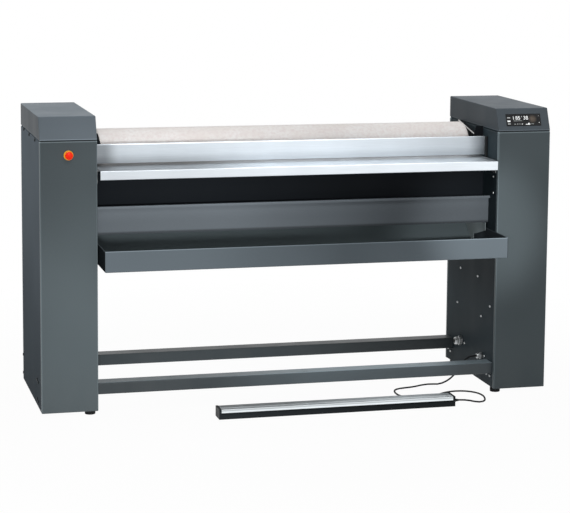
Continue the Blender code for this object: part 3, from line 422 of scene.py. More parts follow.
metals = {
    # Painted reflections on the tread: a darker band along its upper front bend, a lighter top, and the top
    # darker towards the left
    "treadAluminium": {
        "colour": (0.86, 0.92, 0.95), "roughness": 0.34, "grain": lengthwise,
        "paintedLight": [
            ("Z", treadTop - 0.0085, treadTop - 0.0055, 0.62), ("Z", *treadLid, 1.6),
            ("X", 0.38, -0.15, 0.48, *treadLid),
        ],
    },
    # Painted reflections and shade on the feed table: its top darker, darker to the left, and its top much
    # darker to the left
    "sheetAluminium": {
        "colour": (0.84, 0.90, 0.95), "roughness": 0.34, "grain": lengthwise,
        "paintedLight": [
            ("Z", tableTop - 0.003, tableTop, 0.90),
            ("X", -0.1, -0.6, 0.83), ("X", -0.1, -0.4, 0.36, *tableLid),
        ],
    },
    # Painted reflections and shade on the finger guard: darker towards both ends, darkest at the left end,
    # and darker low down
    "guardAluminium": {
        "colour": (0.80, 0.87, 0.935), "roughness": 0.36, "grain": lengthwise,
        "paintedLight": [
            ("X", -0.1, -0.66, 0.83), ("X", 0.1, 0.66, 0.71), ("X", -0.61, -0.668, 0.50),
            ("Z", guardTop - 0.031, guardTop - 0.059, 0.80),
        ],
    },
    "pressSteel": {"colour": (0.72, 0.73, 0.74), "roughness": 0.16, "grain": (1.0, 0.04, 0.04)},
    "heaterSheath": {"colour": (0.33, 0.30, 0.27), "roughness": 0.42, "grain": (0.05, 1.0, 1.0)},
    "palePlate": {"colour": (0.62, 0.65, 0.67), "roughness": 0.38, "grain": (1.0, 0.05, 1.0)},
}
mouldings = {
    "castGrey": {"colour": (0.19, 0.20, 0.21), "roughness": 0.55, "scale": 260.0, "depth": 0.0003},
    "blackRubber": {
        "colour": (0.012, 0.013, 0.014), "roughness": 0.62, "level": 0.15,
        "scale": 420.0, "depth": 0.0002, "lift": 1.8,
    },
    "blackPlastic": {"colour": (0.012, 0.015, 0.017), "roughness": 0.45, "scale": 900.0, "level": 0.1},
    "redPlastic": {
        "colour": (0.86, 0.022, 0.004), "roughness": 0.35, "level": 0.2,
        "scale": 900.0, "depth": 0.00005, "lift": 1.15,
    },
    "amberPlastic": {
        "colour": (0.95, 0.42, 0.035), "roughness": 0.34, "level": 0.2,
        "scale": 900.0, "depth": 0.00005, "lift": 1.1,
    },
    "motorEnamel": {
        "colour": (0.045, 0.075, 0.115), "roughness": 0.45,
        "scale": 300.0, "depth": 0.0002, "lift": 1.5,
    },
    "paleEdge": {
        "colour": (0.72, 0.72, 0.71), "roughness": 0.45,
        "scale": 500.0, "depth": 0.00005, "lift": 1.1,
    },
}
made = [
    zincFinish("zincSteel", (0.50, 0.52, 0.53), 0.36),
    # The cloth's right part is painted lighter, for light from the right
    clothFinish("rollerCloth", (0.75, 0.735, 0.725), [("X", 0.15, 0.5, 1.11)]),
    glassFinish("displayGlass", (glassLow + glassHigh) / 2 + hazeOffset, 0.017, (0.13, 0.10, 0.075)),
    lampFinish("whiteLamp", (0.85, 0.87, 0.87), 0.65),
    lampFinish("dimLamp", (0.40, 0.42, 0.42), 0.35),
]
for makeFinish, recipes in ((paintFinish, paints), (brushedFinish, metals), (grainFinish, mouldings)):
    made += [makeFinish(name, **recipe) for name, recipe in recipes.items()]
finishes = {material.name: material for material in made}

slotFinishes = {
    "charcoal_paint": ["charcoalPaint", "sidePaint", "innerPaint", "apronPaint", "headPaint", "trayPaint"],
    "dark_paint": ["barPaint", "darkPaint", "chutePaint", "endPaint"],
    "black_paint": ["blackPaint"],
    "anodised_aluminium": ["sheetAluminium", "guardAluminium", "treadAluminium", "pressSteel"],
    "zinc_steel": ["zincSteel", "palePlate", "paleEdge"],
    "cast_grey": ["castGrey"],
    "roller_cloth": ["rollerCloth"],
    "black_rubber": ["blackRubber"],
    "black_plastic": ["blackPlastic"],
    "red_plastic": ["redPlastic"],
    "yellow_plastic": ["amberPlastic"],
    "display_glass": ["displayGlass"],
    "motor_enamel": ["motorEnamel"],
    "heater_sheath": ["heaterSheath"],
}
slotOf = {finish: slot for slot, names in slotFinishes.items() for finish in names}


# Shared builders

seamDistance = 0.00001


def meshOf(work, name):
    mesh = bpy.data.meshes.new(name)
    work.to_mesh(mesh)
    work.free()
    return mesh


def addPiece(name, mesh, finish, body="frame", standsFor=(), smooth=35.0):
    mesh.materials.clear()
    mesh.materials.append(finishes[finish])
    mesh.shade_smooth()
    mesh.set_sharp_from_angle(angle=math.radians(smooth))
    piece = bpy.data.objects.new(name, mesh)
    bpy.context.scene.collection.objects.link(piece)
    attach(piece, body)
    if standsFor:
        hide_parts(*standsFor)
    finish in slotOf
    return piece


def closeUp(work):
    bmesh.ops.remove_doubles(work, verts=work.verts, dist=seamDistance)
    bmesh.ops.recalc_face_normals(work, faces=work.faces)


def ringBand(work, first, second):
    # Faces between two rings of points, where a ring of one point is a pole
    count = max(len(first), len(second))
    for i in range(count):
        j = (i + 1) % count
        spots = ((first, i), (first, j), (second, j), (second, i))
        corners = list(dict.fromkeys(ring[k % len(ring)] for ring, k in spots))
        if len(corners) > 2:
            work.faces.new(corners)


def slabInto(work, first, second):
    # A closed slab between two outlines of as many points
    rings = [[work.verts.new(spot) for spot in outline] for outline in (first, second)]
    ringBand(work, *rings)
    for ring in rings:
        work.faces.new(ring)


def addPlate(name, work, finish, soft=0.0):
    # A sheet piece, its edges softened where a width is given
    bmesh.ops.recalc_face_normals(work, faces=work.faces)
    if soft:
        bmesh.ops.bevel(work, geom=work.edges[:], offset=soft, segments=1, affect="EDGES")
    addPiece(name, meshOf(work, name), finish, smooth=25.0)


def turnInto(work, profile, place, direction, steps=48, closed=False, wave=None):
    # Turns a profile of (distance along, radius) about a direction
    aim = Vector((0, 0, 1)).rotation_difference(Vector(direction)).to_matrix()
    rings = []
    for row, (along, radius) in enumerate(profile):
        ring = []
        for i in range(1 if radius == 0 else steps):
            angle = 2 * math.pi * i / steps
            out = radius + (wave(row, angle) if wave else 0.0)
            spot = aim @ Vector((out * math.cos(angle), out * math.sin(angle), along))
            ring.append(work.verts.new(Vector(place) + spot))
        rings.append(ring)
    pairs = list(zip(rings, rings[1:]))
    if closed:
        pairs.append((rings[-1], rings[0]))
    for first, second in pairs:
        ringBand(work, first, second)


def turnedMesh(name, profile, place, direction, steps=48, closed=False, wave=None):
    work = bmesh.new()
    turnInto(work, profile, place, direction, steps, closed, wave)
    bmesh.ops.recalc_face_normals(work, faces=work.faces)
    return meshOf(work, name)


def blockInto(work, low, high, corner, segments):
    cube = bmesh.ops.create_cube(work, size=1.0)["verts"]
    size = [b - a for a, b in zip(low, high)]
    centre = [(a + b) / 2 for a, b in zip(low, high)]
    bmesh.ops.scale(work, vec=size, verts=cube)
    bmesh.ops.translate(work, vec=centre, verts=cube)
    if corner:
        edges = list({edge for vert in cube for edge in vert.link_edges})
        bmesh.ops.bevel(work, geom=edges, offset=corner, segments=segments, profile=0.5, affect="EDGES")


def rounded(points, radius, steps=8):
    # An open line with each inner corner replaced by an arc
    line = [Vector(points[0])]
    for before, corner, after in zip(points, points[1:], points[2:]):
        before, corner, after = Vector(before), Vector(corner), Vector(after)
        into, out = (before - corner).normalized(), (after - corner).normalized()
        half = math.acos(max(-1.0, min(1.0, into.dot(out)))) / 2
        reach = radius / math.tan(half)
        start, end = corner + into * reach, corner + out * reach
        centre = corner + (into + out).normalized() * (radius / math.sin(half))
        for i in range(steps + 1):
            spot = start.lerp(end, i / steps) - centre
            line.append(centre + spot.normalized() * radius)
    line.append(Vector(points[-1]))
    return line


def thickened(line, wall):
    # A closed outline: the line, then the same line moved to its left by the wall
    other = []
    for i, point in enumerate(line):
        before, after = line[max(0, i - 1)], line[min(len(line) - 1, i + 1)]
        run = (after - before).normalized()
        other.append(point + Vector((-run.y, run.x)) * wall)
    return line + other[::-1]


def bentSheet(line, wall, lowX, highX):
    # A bent sheet along X, from an outer line of (y, z)
    outline = thickened(line, wall)
    work = bmesh.new()
    rings = [[work.verts.new((x, y, z)) for y, z in outline] for x in (lowX, highX)]
    ringBand(work, *rings)
    for ring in rings:
        for i in range(len(line) - 1):
            work.faces.new((ring[i], ring[i + 1], ring[-i - 2], ring[-i - 1]))
    closeUp(work)
    return work


def smoothCopy(node, finish):
    # A CAD node's own shape as one merged mesh, so that its round faces shade smoothly
    work = bmesh.new()
    work.from_mesh(nodes[node].data)
    bmesh.ops.remove_doubles(work, verts=work.verts, dist=seamDistance)
    bmesh.ops.dissolve_limit(work, angle_limit=math.radians(1.0), verts=work.verts, edges=work.edges)
    mesh = meshOf(work, node + ".smooth")
    addPiece(mesh.name, mesh, finish, nodes[node]["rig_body"], [node], 40.0)


# Foot control cord, from the right column's gland to the foot bar

print("cord")
cord = {
    "diameter": 0.006,
    "step": 0.018,
    "restHeight": 0.0033,
    "glandTip": (0.6854, -0.070, 0.113),
    "barTip": (0.5386, -0.300, 0.014),
    # distance from the right inner wall, depth behind the column front, height
    "route": [
        (0.0360, 0.1250, 0.1130), (0.0580, 0.1280, 0.1040), (0.0800, 0.1340, 0.0740),
        (0.1040, 0.1430, 0.0370), (0.1340, 0.1610, 0.0110), (0.1720, 0.1810, 0.0000),
        (0.2100, 0.1740, 0.0000), (0.2440, 0.1570, 0.0000), (0.2750, 0.1480, 0.0000),
        (0.3020, 0.1420, 0.0000), (0.3260, 0.1260, 0.0000), (0.3380, 0.0950, 0.0000),
        (0.3390, 0.0540, 0.0000), (0.3250, 0.0160, 0.0000), (0.2930, -0.0100, 0.0000),
        (0.2530, -0.0090, 0.0000), (0.2130, 0.0140, 0.0000), (0.1770, 0.0420, 0.0000),
        (0.1380, 0.0590, 0.0000), (0.1000, 0.0580, 0.0000), (0.0700, 0.0410, 0.0000),
        (0.0520, 0.0110, 0.0000), (0.0480, -0.0250, 0.0000), (0.0550, -0.0620, 0.0000),
        (0.0680, -0.0940, 0.0036), (0.0890, -0.1130, 0.0050), (0.1130, -0.1140, 0.0080),
        (0.1360, -0.1070, 0.0122),
    ],
}


def smoothLine(points, step, fineSteps=32):
    anchors = [2 * points[0] - points[1], *points, 2 * points[-1] - points[-2]]
    fine = []
    for a, b, c, d in zip(anchors, anchors[1:], anchors[2:], anchors[3:]):
        for i in range(fineSteps):
            t = i / fineSteps
            bend = (2 * a - 5 * b + 4 * c - d) * t**2 + (3 * b - a - 3 * c + d) * t**3
            fine.append((2 * b + (c - a) * t + bend) / 2)
    fine.append(points[-1])
    lengths = [0.0]
    for before, after in zip(fine, fine[1:]):
        lengths.append(lengths[-1] + (after - before).length)
    count = round(lengths[-1] / step)
    line, index = [], 0
    for i in range(count + 1):
        wanted = lengths[-1] * i / count
        while index < len(fine) - 2 and lengths[index + 1] < wanted:
            index += 1
        gap = lengths[index + 1] - lengths[index]
        line.append(fine[index].lerp(fine[index + 1], min(1.0, (wanted - lengths[index]) / gap)))
    return line


def makeCord():
    start, end = Vector(cord["glandTip"]), Vector(cord["barTip"])
    straight = Vector((cord["diameter"], 0.0, 0.0))
    route = [Vector((innerX - out, frontY + back, z)) for out, back, z in cord["route"]]
    line = smoothLine([start - straight, *route, end + straight], cord["step"])
    for spot in line:
        spot.z = max(spot.z, cord["restHeight"])
    line = [start, *line, end]
    length = sum((b - a).length for a, b in zip(line, line[1:]))
    curve = bpy.data.curves.new("footCord", "CURVE")
    curve.dimensions = "3D"
    curve.bevel_depth = cord["diameter"] / 2
    curve.bevel_resolution = 3
    curve.use_fill_caps = True
    curve.materials.append(finishes["blackRubber"])
    spline = curve.splines.new("POLY")
    spline.points.add(len(line) - 1)
    for point, place in zip(spline.points, line):
        point.co = (*place, 1.0)
    spline.use_smooth = True
    piece = bpy.data.objects.new("footCord", curve)
    bpy.context.scene.collection.objects.link(piece)
    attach(piece, "frame")
    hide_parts("foot_cord")
    print(f"cord length {length:.3f} m")


makeCord()


# Roller: cloth wound on the drum, its ends drawn in by a lace

print("roller")
roller = {
    "seed": 7,
    "steps": 176,  # round the roller
    "columns": 90,  # along it
    "lumps": 14,
    "crown": 0.0004,  # the height of the lumps
    "lap": 0.0007,  # the step where the cloth's end lies on the turn below
    "lapPlace": 0.6,  # radians
    "lapWidth": 0.05,  # radians
    "endRound": 0.016,
    "endReach": 0.9,  # shares of the round along the roller and towards its axis
    "endDrop": 1.1,
    "endSteps": 9,
    "mouth": 0.055,  # radius of the opening that the lace draws in
    "mouthRound": 0.004,
    "mouthPull": 0.4,
    "pleats": 44,
    "pleatDepth": 0.0016,
    "pleatDrift": 0.8,  # radians, so that the pleats aren't even
    "pleatSteps": 6,
    "laceRadius": 0.0022,
    "laceRise": 0.003,
    "drumGap": 0.0006,
}
clothLow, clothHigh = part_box("roller_padding")
drumLow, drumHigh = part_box("roller_drum")
rollerAxis = Vector((0.0, (clothLow.y + clothHigh.y) / 2, (clothLow.z + clothHigh.z) / 2))
clothHalf, clothRadius = clothHigh.x, (clothHigh.z - clothLow.z) / 2
seatX = drumHigh.x + roller["drumGap"]
seatRadius = (drumHigh.z - drumLow.z) / 2 + roller["drumGap"]


def clothRows():
    # ((distance along, radius), pull of the lace) for each row, from the left end to the right
    top = clothRadius - roller["lap"] - roller["crown"]
    endRound, mouth, mouthRound = roller["endRound"], roller["mouth"], roller["mouthRound"]
    flat, count = clothHalf - endRound, roller["columns"]
    middle = [((-flat + 2 * flat * i / count, top), 0.0) for i in range(count + 1)]
    right = []
    for i in range(1, roller["endSteps"] + 1):
        turn = math.pi / 2 * i / roller["endSteps"]
        x = flat + endRound * math.sin(turn) * roller["endReach"]
        radius = top - endRound * roller["endDrop"] * (1 - math.cos(turn))
        right.append(((x, radius), i / roller["endSteps"]))
    startX, startRadius = right[-1][0]
    for i in range(1, roller["pleatSteps"] + 1):
        share = i / roller["pleatSteps"]
        x = startX + (clothHalf - roller["pleatDepth"] - startX) * math.sin(share * math.pi / 2)
        right.append(((x, startRadius + (mouth + mouthRound - startRadius) * share), 1.0))
    right.append(((clothHalf - mouthRound, mouth), roller["mouthPull"]))
    right += [((seatX, mouth), 0.0), ((seatX, seatRadius), 0.0)]
    left = [((-x, radius), pull) for (x, radius), pull in reversed(right)]
    return left + middle + right


def makeRollerCloth():
    random.seed(roller["seed"])
    lumps = []  # waves along the roller, turns round it and phase of each
    for _ in range(roller["lumps"]):
        lumps.append((random.uniform(2, 26), random.randint(1, 9), random.uniform(0, 6.28)))
    rows = clothRows()

    def wave(row, angle):
        (x, radius), pull = rows[row]
        if radius <= roller["mouth"] or (radius <= seatRadius and abs(x) <= seatX):
            return 0.0
        lump = sum(math.sin(x * k + turns * angle + phase) for k, turns, phase in lumps) / len(lumps)
        ahead = (angle - roller["lapPlace"]) % (2 * math.pi)
        lap = max(0.0, 1 - ahead / roller["lapWidth"])
        pleat = math.cos(roller["pleats"] * angle + roller["pleatDrift"] * math.sin(5 * angle))
        out = (roller["crown"] * lump + roller["lap"] * lap) * (1 - pull)
        return out + roller["pleatDepth"] * pull * (pleat - 1) / 2

    profile = [spot for spot, _ in rows]
    mesh = turnedMesh("rollerCloth", profile, rollerAxis, (1, 0, 0), roller["steps"], True, wave)
    piece = addPiece("rollerCloth", mesh, "rollerCloth", "roller", ["roller_padding"], 60.0)


def makeLaces():
    small = roller["laceRadius"]
    turns = [math.pi / 4 * i for i in range(8)]
    height = roller["mouth"] + roller["laceRise"]
    ring = [(small * math.cos(turn), height + small * math.sin(turn)) for turn in turns]
    for side in sides:
        place = rollerAxis + Vector((side * (clothHalf - small), 0, 0))
        lace = turnedMesh(sideName(side) + "Lace", ring, place, (side, 0, 0), 64, True)
        addPiece(lace.name, lace, "palePlate", "roller")


makeRollerCloth()
makeLaces()
for node in ("roller_drum", *both("roller_journal"), "roller_pulley"):
    smoothCopy(node, "zincSteel")


# Sheet metal: the feed table, its guard, the apron and the foot bar's tread

print("sheet metal")
sheets = {
    "wall": 0.002,
    "bend": 0.0032,
    "tableHem": 0.010,
    "guardHem": 0.010,
    "pinRadius": 0.003,
    "pinGrip": 0.030,
    "pinDrop": 0.008,  # below the guard's top
    "pinRound": 0.0005,
    "apronHem": 0.008,
    "treadWall": 0.003,
    "treadBend": 0.0045,
    "grooves": 3,
    "grooveStart": 0.010,
    "groovePitch": 0.007,
    "grooveDepth": 0.0006,
    "grooveWidth": 0.0016,
}


def makeFeedTable():
    low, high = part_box("feed_table")
    corners = [(high.y, high.z), (low.y, high.z), (low.y, low.z), (low.y + sheets["tableHem"], low.z)]
    work = bentSheet(rounded(corners, sheets["bend"]), sheets["wall"], low.x, high.x)
    addPiece("feedTable", meshOf(work, "feedTable"), "sheetAluminium", "frame", ["feed_table"])


def makeFingerGuard():
    low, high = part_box("finger_guard")
    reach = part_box("feed_table")[1].x
    corners = [(low.y, low.z), (low.y, high.z), (low.y + sheets["guardHem"], high.z)]
    work = bentSheet(rounded(corners, sheets["bend"]), -sheets["wall"], -reach, reach)
    addPiece("fingerGuard", meshOf(work, "fingerGuard"), "guardAluminium", "finger_guard", ["finger_guard"])
    radius, soft = sheets["pinRadius"], sheets["pinRound"]
    grip, tip = reach - sheets["pinGrip"], high.x
    profile = [(grip, 0.0), (grip, radius), (tip - soft, radius), (tip, radius - soft), (tip, 0.0)]
    place = (0.0, low.y + sheets["wall"] + radius, high.z - sheets["pinDrop"])
    for side in sides:
        mesh = turnedMesh(sideName(side) + "GuardPin", profile, place, (side, 0, 0), 24)
        addPiece(mesh.name, mesh, "zincSteel", "finger_guard")


def makeApron():
    low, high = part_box("apron")
    corners = [(high.y, low.z), (high.y, high.z), (low.y, high.z), (low.y, high.z - sheets["apronHem"])]
    work = bentSheet(rounded(corners, sheets["bend"]), sheets["wall"], low.x, high.x)
    addPiece("apronSheet", meshOf(work, "apronSheet"), "apronPaint", "frame", ["apron"])


def makeTread():
    low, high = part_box("foot_bar_tread")
    corners = [(high.y, low.z), (high.y, high.z), (low.y, high.z), (low.y, low.z)]
    line = rounded(corners, sheets["treadBend"])
    flat = [i for i, spot in enumerate(line) if abs(spot.y - high.z) < seamDistance]
    before, after = line[: flat[0] + 1], line[flat[-1]:]
    half, deep = sheets["grooveWidth"] / 2, high.z - sheets["grooveDepth"]
    grooves = []
    for i in reversed(range(sheets["grooves"])):
        y = low.y + sheets["grooveStart"] + sheets["groovePitch"] * i
        section = [(y + half, high.z), (y + half / 2, deep), (y - half / 2, deep), (y - half, high.z)]
        grooves += [Vector(spot) for spot in section]
    work = bentSheet(before + grooves + after, sheets["treadWall"], low.x, high.x)
    addPiece("footTread", meshOf(work, "footTread"), "treadAluminium", "foot_bar_tread", ["foot_bar_tread"])


makeFeedTable()
makeFingerGuard()
makeApron()
makeTread()


# Feet, glands and the strain relief

print("feet and glands")
foot = {
    "chamfer": 0.003,
    "panelGap": 0.0003,
    "stem": 0.006,
    "nut": 0.010,
    "nutLift": 0.0045,  # above the panel's lower edge
    "nutHeight": 0.008,
    "soft": 0.001,
    "sink": 0.0002,  # how far the stem goes into the pad, and its gap in the nut
}
gland = {
    "soft": 0.0008,
    "corner": 0.94,  # share of the radius at the chamfered ends of the hexagon
    # share of the length and of the radius along the dome nut
    "dome": [(0.70, 0.84), (0.84, 0.78)],
    "domeFoot": 0.80,
    "noseStart": 0.95,
    "nose": 0.62,
    "noseRound": 0.001,
    "seal": 0.0007,
    "sealShares": (0.75, 0.70),  # of the nose, at the seal's base and tip
}
relief = {
    "rings": 4,
    "ringDepth": 0.0008,
    "start": 0.28,  # share of the length, as the span of all rings is
    "span": 0.68,
    "wall": 0.001,
    "plain": 0.25,
    "ringShares": (0.04, 0.06, 0.14),  # of the length, where a ring begins, is full and ends
}


def makeFoot(name, node):
    low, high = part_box(node)
    place = ((low.x + high.x) / 2, (low.y + high.y) / 2, 0.0)
    radius, pad = (high.x - low.x) / 2, panelLow.z - foot["panelGap"]
    chamfer, soft, sink = foot["chamfer"], foot["soft"], foot["sink"]
    profile = [
        (0.0, 0.0), (0.0, radius - soft), (soft, radius), (pad - chamfer, radius),
        (pad - chamfer / 3, radius - chamfer / 3), (pad, radius - chamfer), (pad, 0.0),
    ]
    addPiece(name, turnedMesh(name, profile, place, (0, 0, 1)), "blackRubber", "frame", [node])
    base, top, stem = pad - sink, high.z, foot["stem"]
    profile = [(base, 0.0), (base, stem), (top - soft, stem), (top, stem - soft), (top, 0.0)]
    work = bmesh.new()
    turnInto(work, profile, place, (0, 0, 1), 24)
    seat, nut = panelLow.z + foot["nutLift"], foot["nut"]
    crown = seat + foot["nutHeight"]
    profile = [
        (seat, stem + sink), (seat, nut - soft), (seat + soft, nut),
        (crown - soft, nut), (crown, nut - soft), (crown, stem + sink),
    ]
    turnInto(work, profile, place, (0, 0, 1), 6, True)
    addPlate(name + "Stem", work, "zincSteel")


def makeGland(name, node, hexShare):
    # A cable gland on the right column's inner wall: a hexagon, a dome nut and a rubber seal
    low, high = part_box(node)
    length, radius = high.x - low.x, (high.z - low.z) / 2
    place, inward = (high.x, (low.y + high.y) / 2, (low.z + high.z) / 2), (-1, 0, 0)
    corner, nose, soft = radius * gland["corner"], radius * gland["nose"], gland["soft"]
    base, tip = length * hexShare, length - soft
    work = bmesh.new()
    profile = [(0.0, 0.0), (0.0, corner), (soft, radius), (base - soft, radius), (base, corner), (base, 0.0)]
    turnInto(work, profile, place, inward, 6)
    domeFoot = base - soft / 2
    dome = [(length * along, radius * share) for along, share in gland["dome"]]
    profile = [
        (domeFoot, 0.0), (domeFoot, radius * gland["domeFoot"]), *dome,
        (length * gland["noseStart"], nose + gland["noseRound"]), (tip, nose), (tip, 0.0),
    ]
    turnInto(work, profile, place, inward, 10)
    bmesh.ops.recalc_face_normals(work, faces=work.faces)
    addPiece(name, meshOf(work, name), "zincSteel", "frame", [node], 25.0)
    start = length - gland["seal"]
    wide, narrow = (nose * share for share in gland["sealShares"])
    profile = [(start, 0.0), (start, wide), (length, narrow), (length, 0.0)]
    mesh = turnedMesh(name + "Seal", profile, place, inward, 32)
    addPiece(mesh.name, mesh, "blackRubber")


def makeStrainRelief():
    # A tapered sleeve with rings
    low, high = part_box("foot_bar_strain_relief")
    place = (low.x, (low.y + high.y) / 2, (low.z + high.z) / 2)
    length, radius = high.x - low.x, (high.z - low.z) / 2
    tip = cord["diameter"] / 2 + relief["wall"]
    profile = [(0.0, 0.0), (0.0, radius), (length * relief["plain"], radius)]
    begins, full, ends = relief["ringShares"]
    for i in range(relief["rings"]):
        start = length * (relief["start"] + relief["span"] * i / relief["rings"])
        wide = radius + (tip - radius) * (i + 1) / relief["rings"]
        neck = wide - relief["ringDepth"]
        ring = [(0.0, neck), (begins, neck), (full, wide), (ends, wide)]
        profile += [(start + length * share, height) for share, height in ring]
    profile += [(length, tip), (length, 0.0)]
    mesh = turnedMesh("footBarStrainRelief", profile, place, (1, 0, 0), 32)
    addPiece(mesh.name, mesh, "blackRubber", "frame", ["foot_bar_strain_relief"])


for side in sides:
    for end in ("front", "rear"):
        makeFoot(sideName(side) + end.title() + "Foot", f"{sideName(side)}_{end}_foot")
makeGland("footCordGland", "foot_cord_gland", hexShare=0.42)
makeGland("mainsCableGland", "mains_cable_gland", hexShare=0.45)
makeStrainRelief()


# Emergency stop on the left column

print("emergency stop")
stop = {
    "collarRound": 0.0012,
    "collarHole": 0.0064,
    "collarDrop": 0.0006,  # of the collar's flank towards its top
    "collarLip": (0.84, 0.80),  # shares of the radius where its top dips in
    "lipDepth": 0.0008,
    "stem": 0.0058,
    "capHeight": 0.012,
    "capRound": 0.0012,
    "capDome": 0.0050,
    "domeSteps": 8,
    "neckShare": 0.62,
    "neckRise": 0.0004,
}


def makeStopCollar():
    low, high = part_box("stop_collar")
    x, z = (low.x + high.x) / 2, (low.z + high.z) / 2
    thick, radius, soft = high.y - low.y, (high.x - low.x) / 2, stop["collarRound"]
    outerLip, innerLip = (radius * share for share in stop["collarLip"])
    profile = [
        (0.0, stop["collarHole"]), (0.0, radius), (thick - soft * 1.6, radius - stop["collarDrop"]),
        (thick - soft * 0.5, radius - soft * 0.8), (thick, radius - soft * 2), (thick, outerLip),
        (thick - stop["lipDepth"], innerLip), (thick - stop["lipDepth"], stop["collarHole"]),
    ]
    mesh = turnedMesh("stopCollar", profile, (x, high.y, z), (0, -1, 0), 64, True)
    addPiece(mesh.name, mesh, "amberPlastic", "frame", ["stop_collar"])


def makeStopButton():
    low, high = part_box("stop_button")
    x, z = (low.x + high.x) / 2, (low.z + high.z) / 2
    cap, base, tip = (high.x - low.x) / 2, frontY - high.y, frontY - low.y
    stem, soft, dome = stop["stem"], stop["capRound"], stop["capDome"]
    under = tip - stop["capHeight"]
    profile = [
        (base, 0.0), (base, stem), (under - stop["neckRise"], stem), (under, cap * stop["neckShare"]),
        (under, cap - soft), (under + soft / 2, cap - soft / 4), (under + soft, cap), (tip - dome, cap),
    ]
    for i in range(1, stop["domeSteps"]):
        turn = math.pi / 2 * i / stop["domeSteps"]
        profile.append((tip - dome + dome * math.sin(turn), cap * (1 - (1 - math.cos(turn)) ** 0.5)))
    profile.append((tip, 0.0))
    mesh = turnedMesh("stopButton", profile, (x, frontY, z), (0, -1, 0), 64)
    addPiece(mesh.name, mesh, "redPlastic", "stop_button", ["stop_button"])


makeStopCollar()
makeStopButton()


# Display in the right head

print("display")
display = {
    "rimWidth": 0.0012,
    "rimRise": 0.0006,
    "rimGap": 0.0004,
    "rimSink": 0.0003,
    # share of the width and of the rise round the rim's section
    "rimSection": [(0.0, 0.0), (0.0, 1.0), (0.7, 1.0), (1.0, 0.4), (1.0, 0.0)],
    "lift": 0.0002,
    "thick": 0.0003,
    "headSetback": 0.033,  # of the head's slope over its height
    "glassThick": 0.0018,
    # letters and their height, then metres to the right of the glass's middle and above it
    "words": [
        ("1", 0.0175, -0.0368, 0.0067), ("85", 0.0187, -0.0202, 0.0067), ("38", 0.0187, 0.0092, 0.0067),
    ],
    # width, height and place of flat marks
    "brightMarks": [
        (0.0016, 0.0030, -0.0052, 0.0120), (0.0110, 0.0050, -0.0546, -0.0042),
        (0.0024, 0.0024, 0.0578, -0.0105), (0.0060, 0.0026, 0.0100, -0.0165),
        (0.0045, 0.0022, -0.0060, -0.0150),
    ],
    "dimMarks": [
        (0.0110, 0.0042, -0.0546, 0.0084), (0.0100, 0.0036, -0.0546, -0.0139),
        (0.0310, 0.0014, -0.0216, -0.0030), (0.0050, 0.0022, -0.0330, -0.0150),
        (0.0050, 0.0022, -0.0235, -0.0150), (0.0030, 0.0030, -0.0150, -0.0150),
        (0.0022, 0.0022, 0.0578, 0.0140), (0.0150, 0.0012, 0.0300, -0.0150),
    ],
    "arrow": [(0.0125, -0.0180), (0.0235, -0.0180), (0.0190, -0.0100)],
}
slope = math.atan2(headHigh.z - headLow.z, display["headSetback"])
glassTop = display["glassThick"] / 2
glassWidth = glassHigh.x - glassLow.x
glassHeight = (glassHigh.z - glassLow.z - display["glassThick"] * math.cos(slope)) / math.sin(slope)
onGlass = Matrix.Translation((glassLow + glassHigh) / 2) @ Matrix.Rotation(slope, 4, "X")
markHeights = (glassTop + display["lift"], glassTop + display["lift"] + display["thick"])


def markInto(work, corners):
    slabInto(work, *([(x, y, z) for x, y in corners] for z in markHeights))


def marksInto(work, marks):
    for width, height, x, y in marks:
        left, right, low, high = x - width / 2, x + width / 2, y - height / 2, y + height / 2
        markInto(work, [(left, low), (right, low), (right, high), (left, high)])


def lettering(words, size, x, y):
    # Text as a mesh, with its middle at x, y on the glass
    letters = bpy.data.curves.new("letters", "FONT")
    letters.body = words
    letters.size = size
    letters.extrude = display["thick"] / 2
    letters.align_x = "CENTER"
    letters.align_y = "CENTER"
    letters.resolution_u = 4
    holder = bpy.data.objects.new("letters", letters)
    bpy.context.scene.collection.objects.link(holder)
    graph = bpy.context.evaluated_depsgraph_get()
    mesh = bpy.data.meshes.new_from_object(holder.evaluated_get(graph))
    bpy.data.objects.remove(holder, do_unlink=True)
    mesh.transform(Matrix.Translation((x, y, sum(markHeights) / 2)))
    return mesh


def placedOnGlass(work, name, finish):
    closeUp(work)
    bmesh.ops.transform(work, matrix=onGlass, verts=work.verts)
    addPiece(name, meshOf(work, name), finish)


def makeDigits():
    work = bmesh.new()
    for words, size, x, y in display["words"]:
        mesh = lettering(words, size, x, y)
        work.from_mesh(mesh)
        bpy.data.meshes.remove(mesh)
    marksInto(work, display["brightMarks"])
    markInto(work, display["arrow"])
    placedOnGlass(work, "displayDigits", "whiteLamp")


def makeMarks():
    work = bmesh.new()
    marksInto(work, display["dimMarks"])
    placedOnGlass(work, "displayMarks", "dimLamp")


def makeRim():
    work = bmesh.new()
    rings = []
    for out, rise in display["rimSection"]:
        grow = display["rimGap"] + display["rimWidth"] * out
        width, height = glassWidth / 2 + grow, glassHeight / 2 + grow
        z = glassTop - display["rimSink"] + display["rimRise"] * rise
        corners = [(-width, -height), (width, -height), (width, height), (-width, height)]
        rings.append([work.verts.new((x, y, z)) for x, y in corners])
    for first, second in zip(rings, rings[1:] + rings[:1]):
        ringBand(work, first, second)
    placedOnGlass(work, "displayRim", "blackPlastic")


makeDigits()
makeMarks()
makeRim()


# End guides beside the roller, which keep the linen off the bearings

